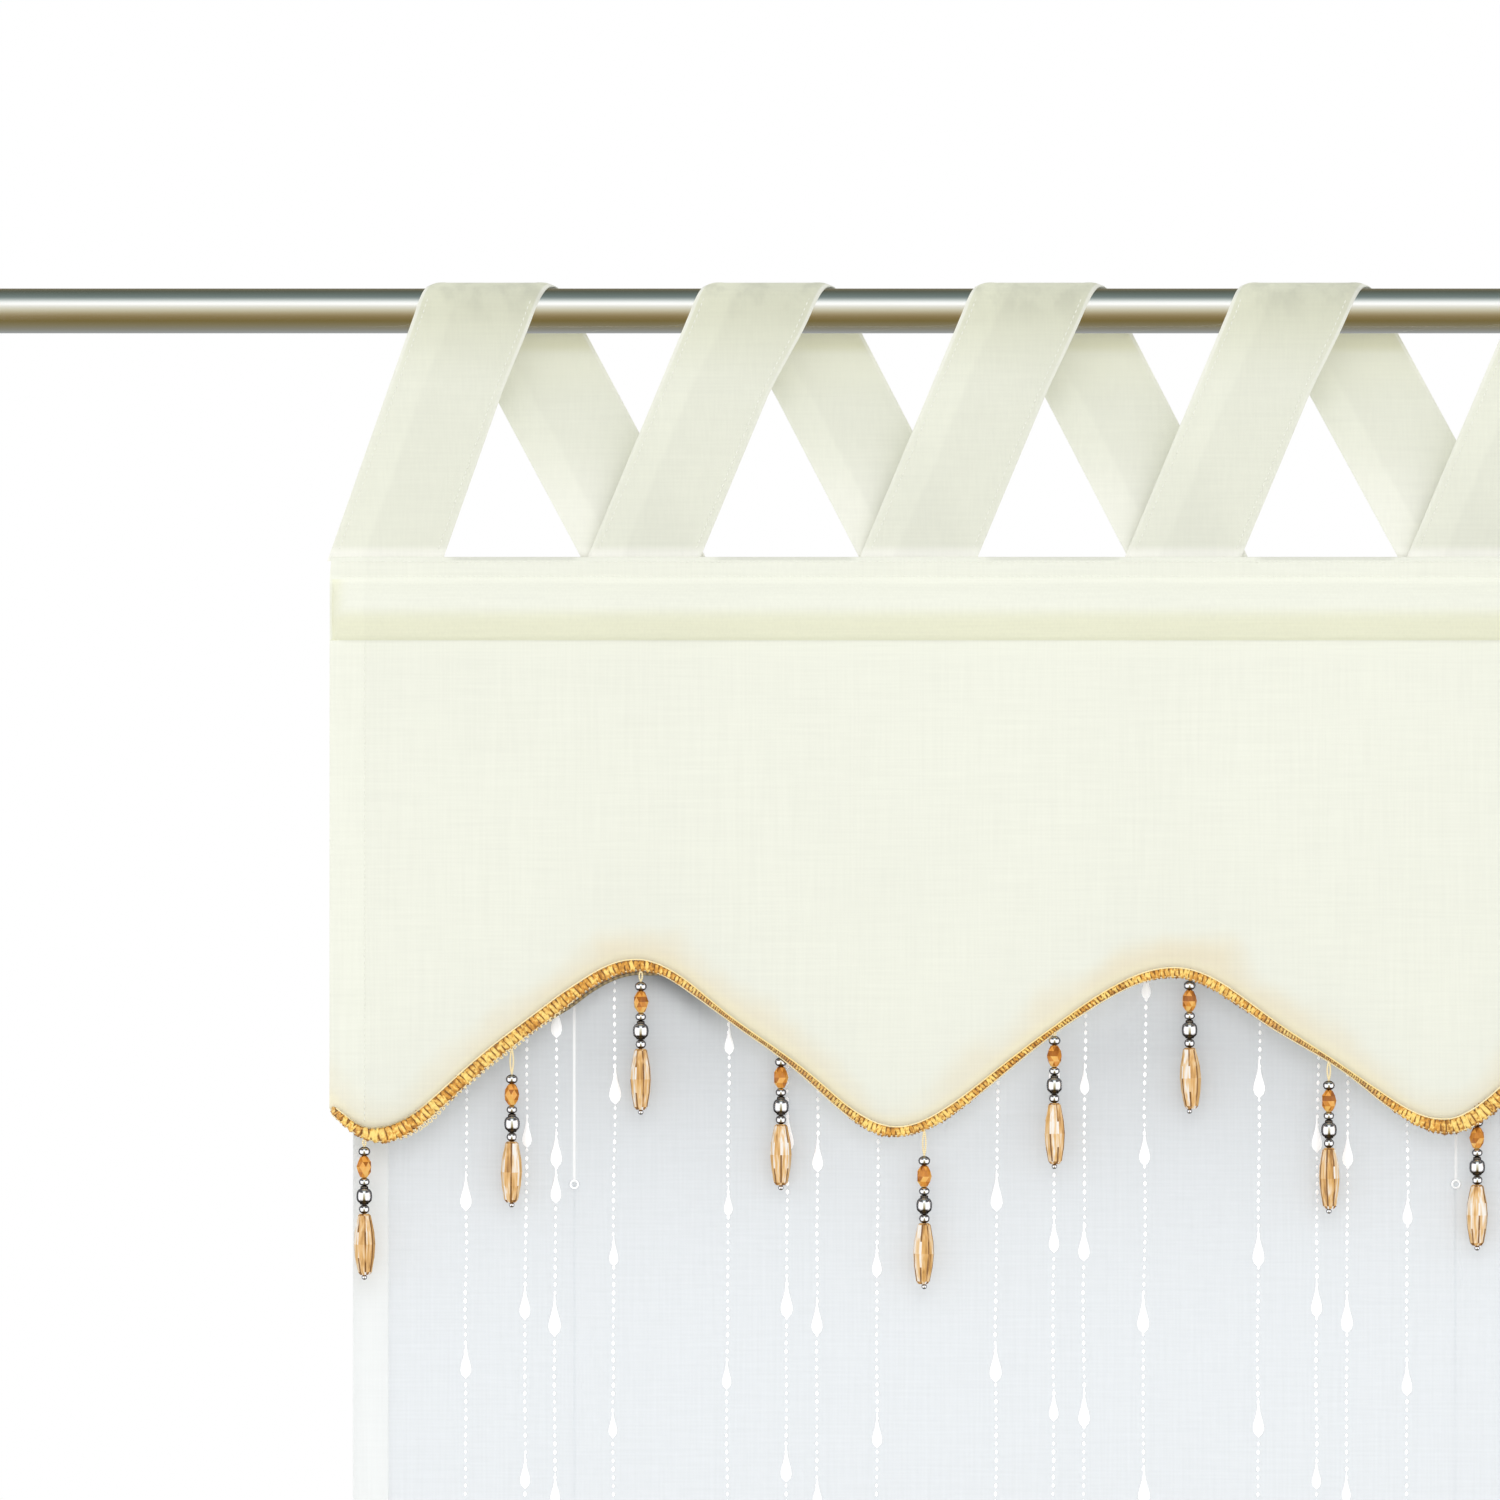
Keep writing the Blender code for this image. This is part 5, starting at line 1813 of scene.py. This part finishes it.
# its place, the foot of one of its drops, and the feet of drops that are out of step
Line = namedtuple("Line", "x foot extra", defaults=((),))
LINES = [
    Line(*row)
    for row in (
        (-0.4397, -0.4018), (-0.4129, -0.4491), (-0.3996, -0.3848, (-0.3246, -0.3985)), (-0.3737, -0.4281),
        (-0.3228, -0.4054), (-0.2964, -0.4496), (-0.2826, -0.4594), (-0.2558, -0.4313),
        (-0.2027, -0.4027), (-0.1770, -0.4214), (-0.1634, -0.4254), (-0.1366, -0.3821),
        (-0.0857, -0.4268), (-0.0594, -0.4500), (-0.0460, -0.4563), (-0.0192, -0.4089),
    )
]
LINES_REPEAT = 0.4716


def embroidery_lines():
    """The lines across the panel. Those above come again to their right, as often as there is room."""
    edge = SHEER_WIDTH / 2 - SHEER_SIDE_HEM - 0.004
    shifted = [line._replace(x=line.x + turn * LINES_REPEAT) for turn in range(3) for line in LINES]
    return [line for line in shifted if line.x < edge]


def line_x(line, z):
    """The lines lean a little, because the panel was cut slightly off the thread."""
    return line.x + LINE_LEAN * clamp((z + 0.46) / 0.3) * 0.3


print("lines of embroidery:", len(embroidery_lines()))

# %% [markdown]
# Two small closed shapes do for all of it. A stitch is a plump sliver of thread, flat behind, and it has
# only a few faces, because thousands are sewn. A drop is pointed above, round below and domed
# towards the front, as satin stitch over padding is.


# %% Stitch and drop
DROP_LENGTH = 0.0165
DROP_WIDTH = 0.0043
DROP_DOME = 0.00045
DROP_BACK = 0.00006
DROP_TIP = 0.00022


def satin_drop():
    """A drop of satin stitch: pointed above, round below, domed towards the front."""
    rows = []
    for i in range(9):
        down = (i / 8) ** 0.75
        wide = DROP_WIDTH / 2 * math.sin(math.pi * down**2.7) ** 0.75 + DROP_TIP
        z = DROP_LENGTH * (1 - down)
        row = []
        for j in range(7):
            side = 2 * j / 6 - 1
            dome = DROP_DOME * math.sqrt(max(0.0, 1 - side**2)) * math.sin(math.pi * (0.08 + 0.84 * down))
            row.append(((wide * side, -dome, z), (wide * side, DROP_BACK, z)))
        rows.append(row)
    return closed_sheet("drop shape", rows)


def plump_stitch():
    """One short stitch: a long hexagon with a ridge, 2 by 2, flat behind."""
    rim = [(0, 0, 1), (0.8, 0, 0.45), (0.8, 0, -0.45), (0, 0, -1), (-0.8, 0, -0.45), (-0.8, 0, 0.45)]
    ridge = [(0, -1, 0.4), (0, -1, -0.4)]
    faces = [(0, 6, 1), (1, 6, 7, 2), (2, 7, 3), (3, 7, 4), (4, 7, 6, 5), (5, 6, 0), (0, 1, 2, 3, 4, 5)]
    return add_object("stitch shape", smooth_mesh("stitch shape", rim + ridge, faces, crease=100))


# %% [markdown]
# The tree sets one shape on every point and casts it onto the cloth with Raycast, so that it lies on the
# panel's waves. A noise lets the lines waver, because the voile gives under the needle, and no two stitches
# are quite one size.


# %% Needlework
NEEDLE_WAVER = 0.0022
NEEDLE_LIFT = 0.0001


def cast_onto(grower, points, cloth, lift):
    """Moves points to the front of the cloth, straight back along Y."""
    spot = grower.axes(grower.geometry("InputPosition"))
    hit = grower.geometry(
        "Raycast",
        output="Hit Position",
        Target_Geometry=cloth,
        Source_Position=grower.xyz(spot, -0.05, spot.out("Z")),
        Ray_Direction=(0, 1, 0),
        Ray_Length=0.2,
    )
    return grower.geometry("SetPosition", Geometry=points, Position=grower.vector("ADD", hit, (0, -lift, 0)))


def needlework(name, shape):
    """A tree that sets a shape on the cloth at every point, with a little waver and some change of size."""
    needle = Grower(name, Cloth=object, Width=float, Depth=float, Length=float, Waver=float)
    waver = needle.node("ShaderNodeTexNoise", {}, {"Scale": 21.0, "Detail": 3.0})
    bend = needle.xyz((waver - 0.5) * needle.input("Waver"), 0, 0)
    bent = needle.geometry("SetPosition", Geometry=needle.input("Geometry"), Offset=bend)
    spots = cast_onto(needle, bent, needle.shape(needle.input("Cloth")), NEEDLE_LIFT)
    fuller = needle.random(0.80, 1.16, 5)
    width = needle.input("Width") * fuller
    size = needle.xyz(width, needle.input("Depth"), needle.input("Length") * fuller)
    placed = needle.geometry("InstanceOnPoints", Points=spots, Instance=needle.shape(shape), Scale=size)
    return needle.finish(placed)


# %% [markdown]
# The thread is white with the sheen of satin, and a faint painted glow keeps it white in the valance's shade.
# Stitches follow each other down every line, and the drops hang one pitch apart, nearly, as a hand sets them.


# %% Sewing the embroidery
STITCH_PITCH = 0.00375
STITCH_SIZE = (0.00080, 0.00028, 0.00116)
DROP_PITCH = 0.0750
DROP_WANDER = 0.002


def white_thread():
    # the emission is a painted glow that keeps the thread white in shade
    thread = Finish("white_thread", 0.42, Sheen_Weight=0.4, Emission_Color=WHITE, Emission_Strength=0.12)
    satin = thread.noise(thread.place(300, 300, 2600), 1, 1)
    thread.set("Base Color", thread.scaled(WHITE, 0.97 + satin * 0.03))
    thread.set("Roughness", 0.36 + satin * 0.15)
    thread.bump(satin, 0.00008, 0.6)
    return thread.material


def stitch_points():
    top = SHEER_TOP - 0.004
    count = int((SHADE_DROP + top - SHEER_BOTTOM_HEM - 0.002) / STITCH_PITCH)
    levels = [top - i * STITCH_PITCH for i in range(count)]
    points = [(line_x(line, z), 0, z) for line in embroidery_lines() for z in levels]
    return points_mesh("stitch points", points)


def drop_points():
    """The foot of every drop: one each pitch along a line, as evenly as a hand keeps it."""
    draw = random.Random(11)
    points = []
    for line in embroidery_lines():
        z = line.foot
        while z < SHEER_TOP - DROP_LENGTH - DROP_PITCH:
            z += DROP_PITCH
        while z > -SHADE_DROP + SHEER_BOTTOM_HEM + 0.005:
            points.append((line_x(line, z), 0, z + draw.uniform(-DROP_WANDER, DROP_WANDER)))
            z -= DROP_PITCH
        points += [(line_x(line, z), 0, z) for z in line.extra]
    return points_mesh("drop points", points)


thread_white = white_thread()
embroidery = []
for name, shape, points, size in (
    ("embroidery_lines", plump_stitch(), stitch_points(), STITCH_SIZE),
    ("embroidery_drops", satin_drop(), drop_points(), (1.0, 1.0, 1.0)),
):
    sizes = dict(zip(("width", "depth", "length"), size))
    needle = needlework(name, shape)
    embroidery.append(
        needle.run(name, points, cloth=sheer_cloth, waver=NEEDLE_WAVER, material=thread_white, **sizes)
    )
    bpy.data.objects.remove(shape)

# %% [markdown]
# Behind the sheer three thin cords lift the shade. Each runs down through small rings that are tacked to the
# back of the cloth, so the rings' size says how far behind it the cord hangs. The cord is a round braided
# one, so its tube has fine ridges.

# %% Lift cords
LIFT_CORD_RADIUS = 0.0006
LIFT_CORD_TOP = -0.118
LIFT_CORD_PAST_RING = 0.006
LIFT_CORD_TWIST = 0.0016
RING_RADIUS = 0.00225
RING_WIRE = 0.00045
RING_TILT = math.radians(45)
RING_TOP = -0.200
RING_PITCH = 0.190
RINGS_PER_CORD = 7
RING_LEVELS = [RING_TOP - i * RING_PITCH for i in range(RINGS_PER_CORD)]
CORD_WHITE = (0.97, 0.975, 0.98)


def cord_y(x, z):
    return sheer_y(x, z) + HEM_THICKNESS / 2 + SEAT_GAP + RING_RADIUS * math.cos(RING_TILT) + RING_WIRE


def cord_line(x):
    """A lift cord from its seat behind the header to just below its lowest ring."""
    sewn = sheer_y(x, LIFT_CORD_TOP) + HEM_THICKNESS / 2 + SEAT_GAP + LIFT_CORD_RADIUS
    end = RING_LEVELS[-1] - LIFT_CORD_PAST_RING
    line = []
    for i in range(121):
        z = LIFT_CORD_TOP + (end - LIFT_CORD_TOP) * i / 120
        share = clamp((LIFT_CORD_TOP - z) / 0.03)
        line.append((x, sewn + share * (cord_y(x, z) - sewn), z))
    return line


def white_cord():
    cord = Finish("white_cord", 0.6, Sheen_Weight=0.2)
    ridges = cord.twist(LIFT_CORD_TWIST)
    cord.set("Base Color", cord.scaled(CORD_WHITE, 0.9 + ridges * 0.1))
    cord.bump(ridges, 0.00012, 0.7)
    return cord.material


cord_material = white_cord()
lift_cords = []
for number, x in enumerate(LIFT_CORDS, 1):
    start = line_mesh("cord line", [cord_line(x)])
    sizes = {"radius": LIFT_CORD_RADIUS, "step": CORD_STEP}
    lift_cords.append(cords.run(f"lift_cord_line_{number}", start, material=cord_material, **sizes))

# %% [markdown]
# The rings are plastic and stand aslant, as the cord pulls them. One tree sets a ring on every point, and it
# is run twice, because the thread that holds a ring makes a small loop on the front of the cloth.


# %% Rings
LOOP_RADIUS = 0.0017
LOOP_WIRE = 0.00038
LOOP_PROUD = 0.0012
RING_WHITE = (0.95, 0.95, 0.95)


def ring_plastic():
    plastic = Finish("ring_plastic", 0.3, Coat_Weight=0.2)
    cloud = plastic.noise(plastic.place(), 300, 2)
    plastic.set("Base Color", plastic.scaled(RING_WHITE, 0.95 + cloud * 0.05))
    plastic.set("Roughness", 0.25 + cloud * 0.15)
    return plastic.material


def ring_tree():
    rings = Grower("cord rings", Radius=float, Wire=float, Tilt=float)
    path = rings.geometry("CurvePrimitiveCircle", Resolution=28, Radius=rings.input("Radius"))
    wire = rings.geometry("CurvePrimitiveCircle", Resolution=10, Radius=rings.input("Wire"))
    ring = rings.geometry("SetShadeSmooth", rings.geometry("CurveToMesh", Curve=path, Profile_Curve=wire))
    tilt = rings.xyz(rings.input("Tilt") * -1, 0, 0)
    points = rings.input("Geometry")
    return rings.finish(rings.geometry("InstanceOnPoints", Points=points, Instance=ring, Rotation=tilt))


spots = [(x, z) for x in LIFT_CORDS for z in RING_LEVELS]
rings = ring_tree()
cord_rings = rings.run(
    "cord_rings",
    points_mesh("ring places", [(x, cord_y(x, z), z) for x, z in spots]),
    radius=RING_RADIUS,
    wire=RING_WIRE,
    tilt=RING_TILT,
    material=ring_plastic(),
)
ring_loops = rings.run(
    "ring_loops",
    points_mesh("loop places", [(x, sheer_y(x, z) - LOOP_PROUD, z) for x, z in spots]),
    radius=LOOP_RADIUS,
    wire=LOOP_WIRE,
    tilt=math.radians(90),
    material=thread_white,
)

# %% [markdown]
# The floor lies below the shade and fades out at its rim, so that no edge shows in the views from above. In
# the photograph rod and beads show only the studio, so floor and cloth are kept out of mirror reflections.

# %% Floor
FLOOR_RADIUS = 6.0
FLOOR_BELOW = 0.06
FLOOR_PAINT = (0.93, 0.93, 0.925)


def pale_floor():
    paint = Finish("pale_floor", 0.7)
    from_middle = paint.node(
        "ShaderNodeVectorMath", {"operation": "LENGTH"}, {0: paint.place()}, output="Value"
    )
    paint.set("Alpha", 1 - paint.smooth(from_middle, 2.0, 5.5))
    grain = paint.noise(paint.place(), 3, 3)
    paint.set("Base Color", paint.scaled(FLOOR_PAINT, 0.98 + grain * 0.02))
    return paint.material


def floor_disc():
    bm = bmesh.new()
    bmesh.ops.create_circle(bm, cap_ends=True, segments=96, radius=FLOOR_RADIUS)
    bmesh.ops.translate(bm, verts=bm.verts, vec=(0, 0, -SHADE_DROP - FLOOR_BELOW))
    mesh = mesh_from(bm, "floor")
    mesh.materials.append(pale_floor())
    return add_object("floor", mesh)


floor = floor_disc()
for piece in (floor, *tab_strips, valance_cloth, sheer_cloth):
    piece.visible_glossy = False
print("floor:", round(FLOOR_BELOW * 1000), "mm below the shade")

# %% [markdown]
# Last, every piece is tied to the frame's root, and the CAD nodes that it stands for are hidden.


def tie(piece, slot, *nodes):
    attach(piece, "root")
    if nodes:
        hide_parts(*nodes)


tie(rod_tube, "polished_metal", "rod")
for number, strip in enumerate(tab_strips, 1):
    tie(strip, "ivory_cloth", f"tab_{number}")
tie(valance_cloth, "ivory_cloth", "valance")
tie(sewing, "ivory_cloth")
tie(gimp_braid, "gold_braid", "braid")
for cord in edge_cords:
    tie(cord, "gold_braid")
pendant_nodes = [f"pendant_{number:02d}" for number in range(1, len(PENDANTS) + 1)]
tie(strings["silver"], "bead_silver", *pendant_nodes)
tie(strings["amber"], "bead_amber")
tie(strings["peach"], "bead_peach")
tie(pendant_threads, "gold_braid")
tie(sheer_cloth, "sheer_voile", "sheer")
for piece in embroidery:
    tie(piece, "white_thread")
for number, cord in enumerate(lift_cords, 1):
    tie(cord, "white_cord", f"lift_cord_{number}")
tie(ring_loops, "white_thread")
ring_nodes = [f"ring_{cord}_{ring}" for cord in range(1, 4) for ring in range(1, RINGS_PER_CORD + 1)]
tie(cord_rings, "white_cord", *ring_nodes)
print("tied to the root, among others:", len(pendant_nodes), "pendants and", len(ring_nodes), "rings")
